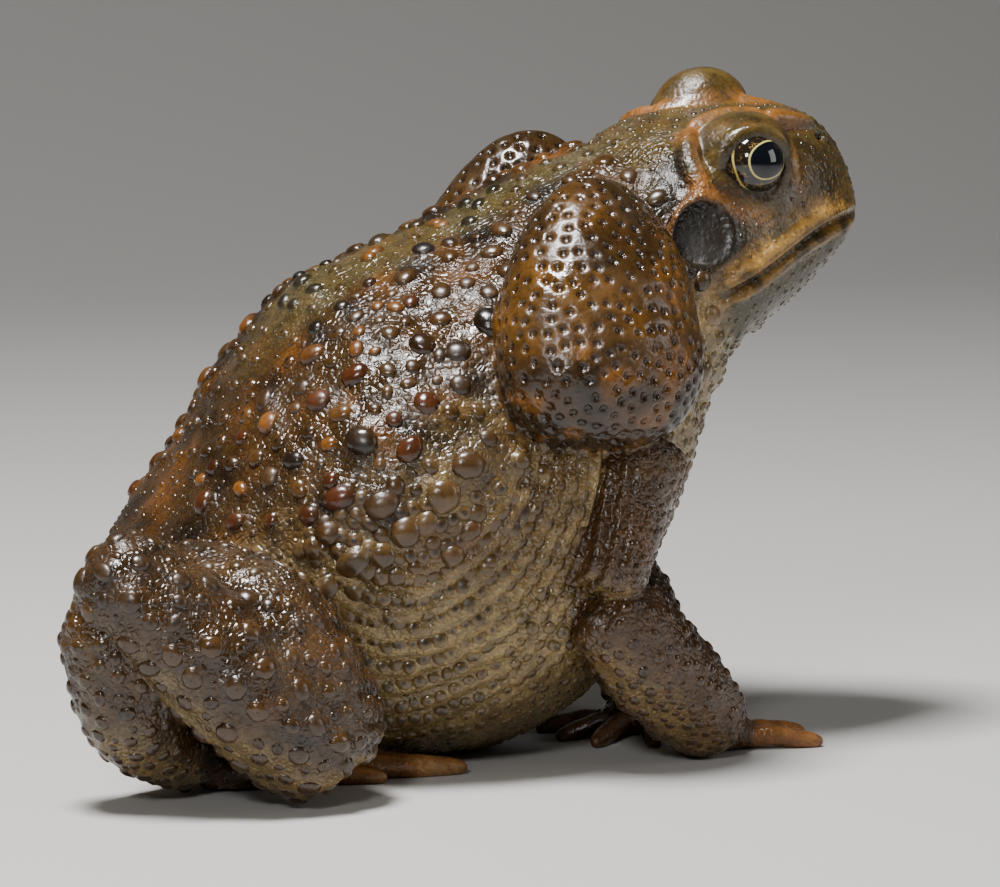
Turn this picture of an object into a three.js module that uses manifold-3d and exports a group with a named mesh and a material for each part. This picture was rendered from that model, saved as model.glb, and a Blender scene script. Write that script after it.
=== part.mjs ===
// A large adult cane toad at life size, sitting upright on its belly, hind legs folded and forelegs braced.
// Millimetres. +X is forward, +Y is the toad's left, +Z is up. The floor is z = 0.
import * as THREE from "three";
import { mergeVertices } from "three/addons/utils/BufferGeometryUtils.js";
import Module from "manifold-3d";

const wasm = await Module();
wasm.setup();

// Driving dimensions
const SNOUT_VENT = 160; // the length that every other size was worked out for
const GAP = 0.3; // left between neighbouring pieces
const PRESSED = 0.5; // how far a palm, sole or digit is flattened by the floor
const RIGHT = -1;
const LEFT = 1;
const UP = new THREE.Vector3(0, 0, 1);
const FORWARD = new THREE.Vector3(1, 0, 0);

// Wart sizes: radius of the foot and height of the dome
const WART = { radius: 2.5, height: 1.5, sides: 6, rings: 3, sunk: 0.9, spread: 0.35 };

const point = (x, y, z) => new THREE.Vector3(x, y, z);
const radians = THREE.MathUtils.degToRad;

// A repeatable random number from 0 to 1 (mulberry32).
function randomFrom(seed) {
  let state = seed;
  return () => {
    state = (state + 0x6d2b79f5) | 0;
    let t = Math.imul(state ^ (state >>> 15), 1 | state);
    t = (t + Math.imul(t ^ (t >>> 7), 61 | t)) ^ t;
    return ((t ^ (t >>> 14)) >>> 0) / 4294967296;
  };
}

// The smooth line through a list of numbers, read at t from 0 to 1.
function through(values, t) {
  const last = values.length - 1;
  const span = Math.min(Math.floor(t * last), last - 1);
  const u = t * last - span;
  const at = (k) => values[Math.max(0, Math.min(last, k))];
  const [a, b, c, d] = [at(span - 1), at(span), at(span + 1), at(span + 2)];
  return 0.5 * (2 * b + (c - a) * u + (2 * a - 5 * b + 4 * c - d) * u * u + (3 * b - a - 3 * c + d) * u ** 3);
}

// A point on a body lofted through stations, at t along it and at turn round it (0 on the back, + to the left).
// Each station has its centre x, y, z, its half width, and its reach up and down from the centre.
function skinPoint(stations, t, turn, { fullness = 6, dorsal = UP, square = 1 } = {}) {
  const read = (key, at) => through(stations.map((s) => s[key] ?? 0), THREE.MathUtils.clamp(at, 0, 1));
  const centre = (at) => point(read("x", at), read("y", at), read("z", at));
  const step = 0.01;
  const along = centre(t + step).sub(centre(t - step)).normalize();
  const side = new THREE.Vector3().crossVectors(dorsal, along).normalize();
  side.applyAxisAngle(along, radians(read("roll", t)));
  const top = new THREE.Vector3().crossVectors(along, side);
  const end = Math.sqrt(Math.max(0, 1 - Math.abs(2 * t - 1) ** fullness));
  const boxed = (value) => Math.sign(value) * Math.abs(value) ** square;
  const reach = Math.cos(turn) > 0 ? read("up", t) : read("down", t);
  return centre(t)
    .addScaledVector(side, boxed(Math.sin(turn)) * read("wide", t) * end)
    .addScaledVector(top, boxed(Math.cos(turn)) * reach * end);
}

// A closed body through stations, made by reshaping a sphere whose poles become its two ends.
function loft(stations, { sides, rings, ...form }) {
  const ball = new THREE.SphereGeometry(1, sides, rings);
  const at = ball.attributes.position;
  for (let i = 0; i < at.count; i++) {
    const height = THREE.MathUtils.clamp(at.getY(i), -1, 1);
    const t = (Math.acos(height) / Math.PI + (1 - height) / 2) / 2;
    const p = skinPoint(stations, t, Math.atan2(at.getZ(i), at.getX(i)), form);
    at.setXYZ(i, p.x, p.y, p.z);
  }
  return ball;
}

// The stations of a rounded rod of changing radius through a list of points.
function rodStations(points, radii, flat = 1) {
  return points.map((p, i) => {
    const r = radii[Math.min(i, radii.length - 1)];
    return { x: p.x, y: p.y, z: p.z, wide: r, up: r * flat, down: r * flat };
  });
}

// Such a rod, for limbs, toes, crests and grooves.
function rod(points, radii, { sides = 8, rings = 8, flat = 1, dorsal = UP, fullness = 6 } = {}) {
  return loft(rodStations(points, radii, flat), { sides, rings, dorsal, fullness });
}

// An egg shape with its own three radii.
function egg(centre, radii, sides = 16, rings = 12) {
  return new THREE.SphereGeometry(1, sides, rings)
    .scale(radii.x, radii.y, radii.z)
    .translate(centre.x, centre.y, centre.z);
}

// Only the positions, with shared corners merged.
function bare(geometry) {
  const clean = geometry.clone();
  clean.deleteAttribute("normal");
  clean.deleteAttribute("uv");
  return mergeVertices(clean, 1e-4);
}

// The same geometry pushed out along its normals.
function grown(geometry, by) {
  const clean = bare(geometry);
  clean.computeVertexNormals();
  const { position, normal } = clean.attributes;
  for (let i = 0; i < position.count; i++) {
    position.setXYZ(
      i,
      position.getX(i) + normal.getX(i) * by,
      position.getY(i) + normal.getY(i) * by,
      position.getZ(i) + normal.getZ(i) * by,
    );
  }
  return clean;
}

// A geometry as a solid for joining and cutting, turned right side out where its loft ran the other way.
function solid(geometry) {
  const clean = bare(geometry);
  const make = (triVerts) =>
    new wasm.Manifold(new wasm.Mesh({ numProp: 3, vertProperties: clean.attributes.position.array, triVerts }));
  const triVerts = new Uint32Array(clean.index.array);
  const made = make(triVerts);
  if (made.volume() > 0) return made;
  for (let i = 0; i < triVerts.length; i += 3) {
    [triVerts[i + 1], triVerts[i + 2]] = [triVerts[i + 2], triVerts[i + 1]];
  }
  return make(triVerts);
}

const joined = (geometries, grow = 0) =>
  geometries.map((g) => solid(grow ? grown(outward(g), grow) : g)).reduce((all, one) => all.add(one));

// The geometry with its faces pointing out.
function outward(geometry) {
  return meshGeometry(solid(geometry));
}

// A solid as three.js geometry.
function meshGeometry(made) {
  const mesh = made.getMesh();
  const position = new Float32Array(mesh.numVert * 3);
  for (let i = 0; i < mesh.numVert; i++) {
    position.set(mesh.vertProperties.subarray(i * mesh.numProp, i * mesh.numProp + 3), i * 3);
  }
  return new THREE.BufferGeometry()
    .setAttribute("position", new THREE.BufferAttribute(position, 3))
    .setIndex(new THREE.BufferAttribute(mesh.triVerts, 1));
}

// Only the largest closed surface of a solid.
function largest(made) {
  return made.decompose().reduce((best, one) => (one.volume() > best.volume() ? one : best));
}

const mirrored = (p, side) => point(p.x, p.y * side, p.z);

// The trunk.
// Stations from the vent to the neck. The trunk leans a little to the right, more so at the shoulders.
const TRUNK = [
  { x: -58.5, z: 25, wide: 20, up: 13, down: 18, roll: 0 },
  { x: -44, z: 31, wide: 31, up: 18.5, down: 31, roll: 1 },
  { x: -25, z: 38, wide: 41, up: 30.5, down: 43, roll: 3 },
  { x: -5, z: 48, wide: 43, up: 37.5, down: 49, roll: 5 },
  { x: 13, z: 62, wide: 37, up: 33.5, down: 37, roll: 6 },
  { x: 28, z: 77, wide: 30, up: 26.5, down: 25.5, roll: 8 },
  { x: 40, z: 88, wide: 27, up: 21.5, down: 21.5, roll: 9 },
  { x: 50, z: 95, wide: 21, up: 16, down: 18, roll: 10 },
];
const TRUNK_FORM = { fullness: 5 };

function trunkForm() {
  return [loft(TRUNK, { sides: 28, rings: 21, ...TRUNK_FORM })];
}

// The head.
// The head's own frame: x forward along the mouth, y to the left, z up, from the middle of the jaw joint.
const HEAD_AT = point(40.5, 0, 84.5);
const HEAD_PITCH = 16;
const HEAD_ROLL = 10;
const HEAD_FRAME = new THREE.Matrix4()
  .makeTranslation(HEAD_AT.x, HEAD_AT.y, HEAD_AT.z)
  .multiply(new THREE.Matrix4().makeRotationX(radians(HEAD_ROLL)))
  .multiply(new THREE.Matrix4().makeRotationY(radians(-HEAD_PITCH)));

const HEAD = [
  { x: -16, z: 0, wide: 26, up: 22, down: 20 },
  { x: -6, z: 0, wide: 27.5, up: 23, down: 19 },
  { x: 4, z: 0, wide: 26.5, up: 23, down: 17 },
  { x: 12, z: 0, wide: 23.5, up: 22, down: 14.5 },
  { x: 19, z: 0, wide: 19.5, up: 20.5, down: 12 },
  { x: 25.5, z: 0, wide: 15.5, up: 18.8, down: 8.5 },
  { x: 30.5, z: 0, wide: 12, up: 17, down: 6 },
  { x: 34, z: 0, wide: 10, up: 15, down: 5 },
];
const HEAD_FORM = { fullness: 5, square: 0.88 };

const EYE = { at: point(13.8, 14.6, 16), radius: 6.3 };
const OPENING = { at: point(14.2, 22, 15.9), radii: point(6.4, 6.8, 6.3) };
const LID = { at: point(13.4, 12.4, 18), radii: point(8.6, 7.2, 7) };
const LID_RIM = { wide: 6.4, tall: 6.1, upper: 1.1, lower: 1, out: 3.2 };
const NOSTRIL = { at: point(29.4, 5.8, 13.6), rim: 1.9, hole: 0.95 };
const EARDRUM = { at: point(1, 25, 9.6), radii: point(4.9, 1.9, 5.4) };
const LIP = {
  groove: 0.75, upper: 1.5, lower: 1.3, steps: 12, from: 0.24, arch: 3, sag: 1.6,
  back: { upper: 1.2, groove: 1.4, lower: 3 }, // how far each line is drawn back at the snout
};

// The bony ridges of one side, each a line through points that stand a little proud of the skin.
const CRESTS = {
  canthal: { radii: [1.4, 1.8, 1.9], line: [point(30, 5.2, 15.6), point(25, 6.8, 18.4), point(20, 8.4, 20.8)] },
  brow: { radii: [1.9, 1.7, 1.9], line: [point(20, 8.4, 20.8), point(13.5, 7, 22.6), point(6, 10, 22.8)] },
  postorbital: { radii: [1.9, 2.2, 1.9], line: [point(6, 10, 22.8), point(3.2, 16.6, 19.6), point(3.4, 21.6, 15.2)] },
  ear: { radii: [1.7, 1.3, 1.1], line: [point(3.4, 21.6, 15.2), point(-2.5, 23.6, 13.4), point(-5.5, 24.6, 9)] },
  suborbital: { radii: [1.9, 1.5, 1.2], line: [point(3.4, 21.6, 15), point(8, 21.8, 9.6), point(12, 21, 7)] },
  preocular: { radii: [1.4, 1.6, 1.2], line: [point(20.6, 10, 19.4), point(22, 13.2, 14.6), point(20.6, 16, 9.8)] },
};

// One lid: half a ring round the eye, on the side of the head, above or below it.
function lidRim(side, above) {
  const { wide, tall, upper, lower, out } = LID_RIM;
  const radius = above ? upper : lower;
  const line = [0, 1, 2, 3, 4].map((i) => {
    const turn = (Math.PI * i) / 4;
    const rise = Math.sin(turn) * tall * (above ? 1 : -1);
    const lean = out - 0.14 * Math.abs(rise);
    return mirrored(point(EYE.at.x + Math.cos(turn) * wide, EYE.at.y + lean, EYE.at.z + rise), side);
  });
  return rod(line, [radius * 0.6, radius, radius, radius, radius * 0.6], { sides: 5, rings: 9 });
}

const lipPoint = (t, side) => skinPoint(HEAD, t, (side * Math.PI) / 2, HEAD_FORM);

// The line of one lip, lifted or dropped from the widest line of the head, from the jaw corner round to the snout.
function lipLine(side, lift, back) {
  return Array.from({ length: LIP.steps + 1 }, (_, i) => {
    const share = i / LIP.steps;
    const p = lipPoint(LIP.from + (1 - LIP.from) * share, side);
    const arch = LIP.arch * Math.sin(Math.PI * share) - LIP.sag;
    return point(p.x - back * share ** 5, p.y, p.z + lift + arch);
  });
}

// One lip runs from one jaw corner round the snout to the other.
function lipRod(lift, radius, back) {
  const line = [...lipLine(RIGHT, lift, back), ...lipLine(LEFT, lift, back).reverse().slice(1)];
  const radii = line.map((_, i) => radius * (1 - 0.35 * Math.sin((Math.PI * i) / (line.length - 1)) ** 4));
  return rod(line, radii, { sides: 5, rings: 16, fullness: 12 });
}

function headForm() {
  const pieces = [loft(HEAD, { sides: 24, rings: 17, ...HEAD_FORM })];
  for (const side of [RIGHT, LEFT]) {
    pieces.push(egg(mirrored(LID.at, side), LID.radii, 11, 7));
    for (const { line, radii } of Object.values(CRESTS)) {
      pieces.push(rod(line.map((p) => mirrored(p, side)), radii, { sides: 5, rings: 6 }));
    }
    pieces.push(egg(mirrored(NOSTRIL.at, side), point(NOSTRIL.rim, NOSTRIL.rim, NOSTRIL.rim), 8, 5));
  }
  pieces.push(lipRod(1.5, LIP.upper, LIP.back.upper), lipRod(-1.6, LIP.lower, LIP.back.lower));
  return pieces.map((g) => g.applyMatrix4(HEAD_FRAME));
}

// The lid rims of both eyes.
function lidForm() {
  return [RIGHT, LEFT].flatMap((side) => [lidRim(side, true), lidRim(side, false)])
    .map((g) => g.applyMatrix4(HEAD_FRAME));
}

function headCuts() {
  const pieces = [lipRod(0, LIP.groove, LIP.back.groove)];
  for (const side of [RIGHT, LEFT]) {
    const nostril = mirrored(NOSTRIL.at, side).add(point(0.6, 1.5 * side, 0.5));
    pieces.push(egg(nostril, point(NOSTRIL.hole, NOSTRIL.hole * 1.4, NOSTRIL.hole), 8, 6));
    pieces.push(egg(mirrored(EARDRUM.at, side), EARDRUM.radii, 10, 7));
    pieces.push(egg(mirrored(OPENING.at, side), OPENING.radii, 10, 7));
  }
  return pieces.map((g) => g.applyMatrix4(HEAD_FRAME));
}

function eyeForm(side) {
  const r = EYE.radius;
  return [egg(mirrored(EYE.at, side), point(r, r, r), 14, 9).applyMatrix4(HEAD_FRAME)];
}

// The parotoid glands.
// A broad hanging cushion on each shoulder, widest low down, in a frame of forward, outward and up.
const PAROTOID = { long: 19, thick: 12.5, tall: 23.2, lean: 1.6, taper: 0.26 };
const PAROTOID_AT = {
  [RIGHT]: { at: point(17.5, -34, 78), yaw: 14, roll: 20, pitch: 6 },
  [LEFT]: { at: point(24, 35, 80.5), yaw: -14, roll: -2, pitch: 6 },
};

function parotoidForm(side) {
  const place = PAROTOID_AT[side];
  const ball = new THREE.SphereGeometry(1, 15, 10);
  const at = ball.attributes.position;
  for (let i = 0; i < at.count; i++) {
    const [x, y, z] = [at.getX(i), at.getY(i), at.getZ(i)];
    const narrow = 1 - PAROTOID.taper * (z + 0.35);
    const boxed = (value) => Math.sign(value) * Math.abs(value) ** 0.85;
    at.setXYZ(
      i,
      PAROTOID.long * boxed(x) * narrow + PAROTOID.lean * z + (x < 0 && z < 0 ? 3 * x * z * z : 0),
      PAROTOID.thick * y * (1 - 0.3 * z),
      PAROTOID.tall * boxed(z),
    );
  }
  return [
    ball
      .rotateX(radians(place.roll * side))
      .rotateY(radians(place.pitch))
      .rotateZ(radians(place.yaw))
      .translate(place.at.x, place.at.y, place.at.z),
  ];
}

// The limbs.
// Joint centres and radii of each limb, from the body outwards.
const ARM = {
  [RIGHT]: {
    shoulder: point(27, -29, 56),
    elbow: point(16.7, -36.5, 30.3),
    wrist: point(40, -23.5, 6.5),
    palm: point(42, -19.5, 0),
    yaw: 32,
  },
  [LEFT]: {
    shoulder: point(30, 25, 62),
    elbow: point(43, 31, 24),
    wrist: point(41, 12, 7),
    palm: point(39, 6, 0),
    yaw: 222,
  },
};
const ARM_RADII = { shoulder: 10, biceps: 7.6, elbow: 7.4, forearm: 9, wrist: 7 };
const WRIST_END = 1.16; // the forearm runs on past the wrist by this share of its length
const LEG = {
  [RIGHT]: {
    hip: point(-54, -22, 30),
    thigh: point(-41, -42, 26),
    knee: point(-30, -44.5, 5),
    calf: point(-31, -46, 5.5),
    heel: point(-70.5, -42.5, 41),
    turn: point(-63, -39.5, 15.5),
    sole: point(-49, -28, 4.5),
    yaw: 1,
  },
  [LEFT]: {
    hip: point(-44, 22, 30),
    thigh: point(-20, 44, 24),
    knee: point(-1.5, 53, 6.5),
    calf: point(-3, 57, 8),
    heel: point(-46, 49, 25),
    turn: point(-43, 46, 11),
    sole: point(-30, 43, 4.5),
    yaw: 4,
  },
};
const LEG_RADII = { hip: 12, thigh: 11.5, knee: 10, calf: 9.6, shank: 10.6, heel: 8.6, tarsus: 8.2, sole: 5.6 };
const HAND = {
  palm: { long: 9, wide: 5.6, thick: 3.4 },
  fingers: [
    { fan: -46, long: 10, radius: 1.7 },
    { fan: -16, long: 12, radius: 1.7 },
    { fan: 8, long: 14, radius: 1.8 },
    { fan: 38, long: 11, radius: 1.7 },
  ],
};
const FOOT = {
  sole: { long: 18, wide: 6.5, thick: 3.6 },
  toes: [
    { fan: 52, long: 10, radius: 1.6 },
    { fan: 34, long: 14, radius: 1.7 },
    { fan: 17, long: 20, radius: 1.8 },
    { fan: 0, long: 28, radius: 2.1 },
    { fan: -9, long: 13, radius: 1.8 },
  ],
};

const between = (a, b, share) => a.clone().lerp(b, share);

function upperArmForm(side) {
  const { shoulder, elbow } = ARM[side];
  const r = ARM_RADII;
  const line = [shoulder, between(shoulder, elbow, 0.5), elbow];
  return [rod(line, [r.shoulder, r.biceps, r.elbow], { sides: 14, rings: 10, dorsal: FORWARD })];
}

function forearmStations(side) {
  const { elbow, wrist } = ARM[side];
  const r = ARM_RADII;
  const line = [elbow, between(elbow, wrist, 0.55), between(elbow, wrist, WRIST_END)];
  return rodStations(line, [r.elbow, r.forearm, r.wrist]);
}

// A palm or sole with its digits fanned out from the front edge, laid flat on the floor.
function fan({ at, yaw, side, long, wide, thick, digits }) {
  const pieces = [rod([point(-2, 0, thick), point(long * 0.5, 0, thick), point(long, 0, thick * 0.7)],
    [wide * 0.8, wide, wide * 0.8], { sides: 9, rings: 7, flat: thick / wide })];
  for (const digit of digits) {
    const angle = radians(digit.fan * side);
    const root = point(long * 0.6, Math.sin(angle) * wide * 0.9, digit.radius * 1.3);
    const reach = (share, height) => point(
      root.x + Math.cos(angle) * (digit.long + long * 0.4) * share,
      root.y + Math.sin(angle) * (digit.long + long * 0.4) * share,
      height,
    );
    const line = [root, reach(0.35, digit.radius * 1.6), reach(0.7, digit.radius * 1.1), reach(1, digit.radius * 0.7)];
    pieces.push(rod(line, [digit.radius * 1.3, digit.radius, digit.radius * 0.9, digit.radius * 0.75],
      { sides: 6, rings: 6 }));
  }
  return pieces.map((g) => g.rotateZ(radians(yaw)).translate(at.x, at.y, -PRESSED));
}

function handForm(side) {
  const { palm, yaw } = ARM[side];
  return fan({ at: palm, yaw, side, ...HAND.palm, digits: HAND.fingers });
}

function thighStations(side) {
  const { hip, thigh, knee } = LEG[side];
  const r = LEG_RADII;
  return rodStations([hip, thigh, knee], [r.hip, r.thigh, r.knee]);
}

function shankStations(side) {
  const { calf, heel } = LEG[side];
  const r = LEG_RADII;
  const middle = between(calf, heel, 0.45).add(point(0, side * 3, 1));
  return rodStations([calf, middle, heel], [r.calf, r.shank, r.heel]);
}

function tarsusForm(side) {
  const { heel, turn, sole } = LEG[side];
  const r = LEG_RADII;
  const ankle = between(heel, turn, 0.25);
  return [rod([ankle, turn, sole], [r.tarsus, r.tarsus, r.sole], { sides: 12, rings: 11, dorsal: FORWARD })];
}

function footForm(side) {
  const { sole, yaw } = LEG[side];
  return fan({ at: sole, yaw, side: -side, ...FOOT.sole, digits: FOOT.toes });
}

// The warts.
// A dome standing on a surface point, its root sunk in.
function dome({ at, normal, size }) {
  const r = WART.radius * size;
  const turned = new THREE.Quaternion().setFromUnitVectors(UP, normal);
  const foot = at.clone().addScaledVector(normal, WART.height * size - r * WART.sunk);
  return new THREE.SphereGeometry(1, WART.sides, WART.rings)
    .rotateX(Math.PI / 2)
    .scale(r, r, r * WART.sunk)
    .applyQuaternion(turned)
    .translate(foot.x, foot.y, foot.z);
}

// The surface point and outward normal of a lofted body.
function surface(stations, t, turn, form) {
  const at = skinPoint(stations, t, turn, form);
  const step = 0.01;
  const ahead = skinPoint(stations, t + step, turn, form).sub(at);
  const round = skinPoint(stations, t, turn + step, form).sub(at);
  const normal = new THREE.Vector3().crossVectors(ahead, round).normalize();
  return { at, normal };
}

// Rows of warts along the trunk: how far round from the back, how many, their size, and where the row runs.
const TRUNK_ROWS = [
  { turn: 17, count: 6, size: 1.25, from: 0.12, to: 0.8 },
  { turn: 34, count: 6, size: 1.05, from: 0.14, to: 0.74 },
  { turn: 50, count: 5, size: 1.4, from: 0.18, to: 0.66 },
  { turn: 66, count: 5, size: 1.2, from: 0.16, to: 0.62 },
  { turn: 82, count: 5, size: 1.2, from: 0.2, to: 0.6 },
  { turn: 98, count: 4, size: 1.05, from: 0.24, to: 0.58 },
];

function trunkWarts() {
  const random = randomFrom(11);
  const jitter = (amount) => (random() - 0.5) * amount;
  const domes = [];
  for (const side of [RIGHT, LEFT]) {
    for (const row of TRUNK_ROWS) {
      for (let i = 0; i < row.count; i++) {
        const t = row.from + ((row.to - row.from) * (i + 0.5 + jitter(0.5))) / row.count;
        const turn = radians((row.turn + jitter(9)) * side);
        const size = row.size * (1 + jitter(2 * WART.spread));
        domes.push(dome({ ...surface(TRUNK, t, turn, TRUNK_FORM), size }));
      }
    }
  }
  return domes;
}

// Rows of smaller warts along the outer side of a limb: how far round from its top, how many, and their size.
// The shank runs backwards, so its outer side is turned the other way.
const LIMB_ROWS = {
  shank: { turns: [-20, -48, -76], count: 3, size: 0.85, from: 0.18, to: 0.85 },
  thigh: { turns: [20, 55], count: 2, size: 0.65, from: 0.5, to: 0.85 },
  forearm: { turns: [60, 100], count: 2, size: 0.55, from: 0.25, to: 0.75 },
};

function limbWarts(limb, stations, side) {
  const row = LIMB_ROWS[limb];
  const random = randomFrom(23);
  const domes = [];
  for (const turn of row.turns) {
    for (let i = 0; i < row.count; i++) {
      const t = row.from + ((row.to - row.from) * (i + random())) / row.count;
      const size = row.size * (1 + (random() - 0.5) * WART.spread);
      domes.push(dome({ ...surface(stations, t, radians(turn * side), {}), size }));
    }
  }
  return domes;
}

const wartyLimb = (limb, stationsOf, sides, rings) => (side) => {
  const stations = stationsOf(side);
  return [loft(stations, { sides, rings }), ...limbWarts(limb, stations, side)];
};

// The whole toad.
const forms = new Map([["trunk", trunkForm()], ["head", headForm()]]);
const limbs = {
  upper_arm: upperArmForm,
  forearm: wartyLimb("forearm", forearmStations, 14, 10),
  hand: handForm,
  thigh: wartyLimb("thigh", thighStations, 15, 11),
  shank: wartyLimb("shank", shankStations, 15, 12),
  tarsus: tarsusForm,
  foot: footForm,
};
const SIDES = { right: RIGHT, left: LEFT };
for (const [word, side] of Object.entries(SIDES)) {
  forms.set(`parotoid_${word}`, parotoidForm(side));
  forms.set(`eye_${word}`, eyeForm(side));
  for (const [limb, form] of Object.entries(limbs)) forms.set(`${limb}_${word}`, form(side));
}

const plain = new Map([...forms].map(([name, pieces]) => [name, joined(pieces)]));
const wide = new Map([...forms].map(([name, pieces]) => [name, joined(pieces, GAP)]));

const BIG = 400;
const aboveFloor = solid(new THREE.BoxGeometry(BIG, BIG, BIG).translate(0, 0, BIG / 2));

// The neck plane parts the head from the trunk.
const NECK = { x: -7, tilt: 0 };
function neckBlock(front) {
  const offset = front ? BIG / 2 + GAP / 2 : -BIG / 2 - GAP / 2;
  return solid(new THREE.BoxGeometry(BIG, BIG, BIG)
    .translate(offset, 0, 0)
    .rotateY(radians(NECK.tilt))
    .translate(NECK.x, 0, 0)
    .applyMatrix4(HEAD_FRAME));
}

// What each piece is cut clear of, in order from the body outwards.
const CLEAR_OF = {
  parotoid: ["trunk", "head"],
  upper_arm: ["trunk", "head", "parotoid"],
  forearm: ["trunk", "upper_arm", "parotoid"],
  hand: ["trunk", "forearm", "upper_arm"],
  thigh: ["trunk"],
  shank: ["trunk", "thigh"],
  tarsus: ["trunk", "thigh", "shank"],
  foot: ["trunk", "thigh", "shank", "tarsus"],
};

const nodes = new Map();
const eyes = ["right", "left"].map((word) => wide.get(`eye_${word}`)).reduce((a, b) => a.add(b));
const headAndTrunk = plain.get("head").add(plain.get("trunk")).subtract(joined(headCuts())).add(joined(lidForm()))
  .subtract(eyes);
nodes.set("head", headAndTrunk.intersect(neckBlock(true)));

const others = [...wide].filter(([name]) => !["trunk", "head"].includes(name)).map(([, made]) => made);
const keptWarts = others.reduce((left, made) => left.subtract(made), joined(trunkWarts()));
nodes.set("trunk", headAndTrunk.add(keptWarts).intersect(neckBlock(false)));

for (const word of Object.keys(SIDES)) {
  nodes.set(`eye_${word}`, plain.get(`eye_${word}`));
  for (const [name, bases] of Object.entries(CLEAR_OF)) {
    const cutters = bases.map((base) => wide.get(wide.has(base) ? base : `${base}_${word}`));
    nodes.set(`${name}_${word}`, cutters.reduce((left, made) => left.subtract(made), plain.get(`${name}_${word}`)));
  }
}

const COLOURS = {
  trunk: 0x5a4632,
  head: 0x6a5236,
  parotoid: 0x6d4526,
  eye: 0x14120e,
  upper_arm: 0x54402e,
  forearm: 0x5b4530,
  hand: 0x8a6238,
  thigh: 0x4a382a,
  shank: 0x4a382a,
  tarsus: 0x4f3c2a,
  foot: 0x6b5238,
};

const toad = new THREE.Group();
const scale = SNOUT_VENT / 160;
for (const [name, made] of nodes) {
  const kind = name.replace(/_(right|left)$/, "");
  const skin = new THREE.MeshStandardMaterial({
    color: COLOURS[kind],
    roughness: kind === "eye" ? 0.08 : 0.42,
    metalness: 0,
  });
  const mesh = new THREE.Mesh(meshGeometry(largest(made.intersect(aboveFloor))), skin);
  mesh.name = name;
  toad.add(mesh);
}
toad.scale.setScalar(scale);

// The origin is on the floor under the middle of the toad.
const bounds = new THREE.Box3().setFromObject(toad);
const middle = bounds.getCenter(new THREE.Vector3());
toad.position.set(-middle.x, -middle.y, -bounds.min.z);

export default toad;
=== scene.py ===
"""A large adult cane toad, a still life-size model: wet warty skin, pitted shoulder glands, gold-ringed eyes.

Sizes are in millimetres in the toad's own frame, +X forward, +Y to its left, +Z up, floor at 0, and are
turned into metres when a mesh is made.
"""

import math
from itertools import product

import bpy
import numpy as np
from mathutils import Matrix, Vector
from mathutils.bvhtree import BVHTree
from mathutils.kdtree import KDTree


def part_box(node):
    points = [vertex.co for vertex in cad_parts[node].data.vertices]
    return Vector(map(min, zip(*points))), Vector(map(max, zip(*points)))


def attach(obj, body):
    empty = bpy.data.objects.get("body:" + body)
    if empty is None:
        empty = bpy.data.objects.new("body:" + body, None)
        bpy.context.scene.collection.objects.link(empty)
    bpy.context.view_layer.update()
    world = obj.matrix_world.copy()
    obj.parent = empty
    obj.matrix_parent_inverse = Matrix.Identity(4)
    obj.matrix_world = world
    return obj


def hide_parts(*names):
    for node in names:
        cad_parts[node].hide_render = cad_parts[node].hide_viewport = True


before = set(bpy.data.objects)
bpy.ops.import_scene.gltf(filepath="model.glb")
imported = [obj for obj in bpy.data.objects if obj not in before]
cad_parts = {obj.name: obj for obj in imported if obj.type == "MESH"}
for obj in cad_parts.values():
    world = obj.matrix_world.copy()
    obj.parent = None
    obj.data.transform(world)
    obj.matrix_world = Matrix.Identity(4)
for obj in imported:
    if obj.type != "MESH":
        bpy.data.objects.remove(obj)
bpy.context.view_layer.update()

MM = 0.001
RIGHT, LEFT = -1, 1
UP = np.array((0.0, 0.0, 1.0))
FORWARD = np.array((1.0, 0.0, 0.0))

# Trunk stations from the vent to the neck: x, y, z, half width, reach up, reach down, roll in degrees.
TRUNK = np.array([
    (-58.5, 0, 25, 20, 13, 18, 0),
    (-44, 0, 31, 31, 18.5, 31, 1),
    (-25, 0, 38, 41, 30.5, 43, 3),
    (-5, 0, 48, 43, 37.5, 49, 5),
    (13, 0, 62, 37, 33.5, 37, 6),
    (28, 0, 77, 30, 26.5, 25.5, 8),
    (40, 0, 88, 27, 21.5, 21.5, 9),
    (50, 0, 95, 21, 16, 18, 10),
], float)
# Head stations in the head's own frame, from the neck to the snout.
HEAD = np.array([
    (-16, 0, 0, 26, 22, 20, 0),
    (-6, 0, 0, 27.5, 23, 19, 0),
    (4, 0, 0, 26.5, 23, 17, 0),
    (12, 0, 0, 23.5, 22, 14.5, 0),
    (19, 0, 0, 19.5, 20.5, 12, 0),
    (25.5, 0, 0, 15.5, 18.8, 8.5, 0),
    (30.5, 0, 0, 12.2, 17.4, 6, 0),
    (34.6, 0, 0, 10, 15.8, 5, 0),
], float)
# How blunt the ends of the trunk and head are, and how square the head is across.
ROUND_ENDS = 5
HEAD_SQUARE = 0.88
HEAD_AT = np.array((40.5, 0, 84.5))
HEAD_PITCH = 16
HEAD_ROLL = 10
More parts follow.
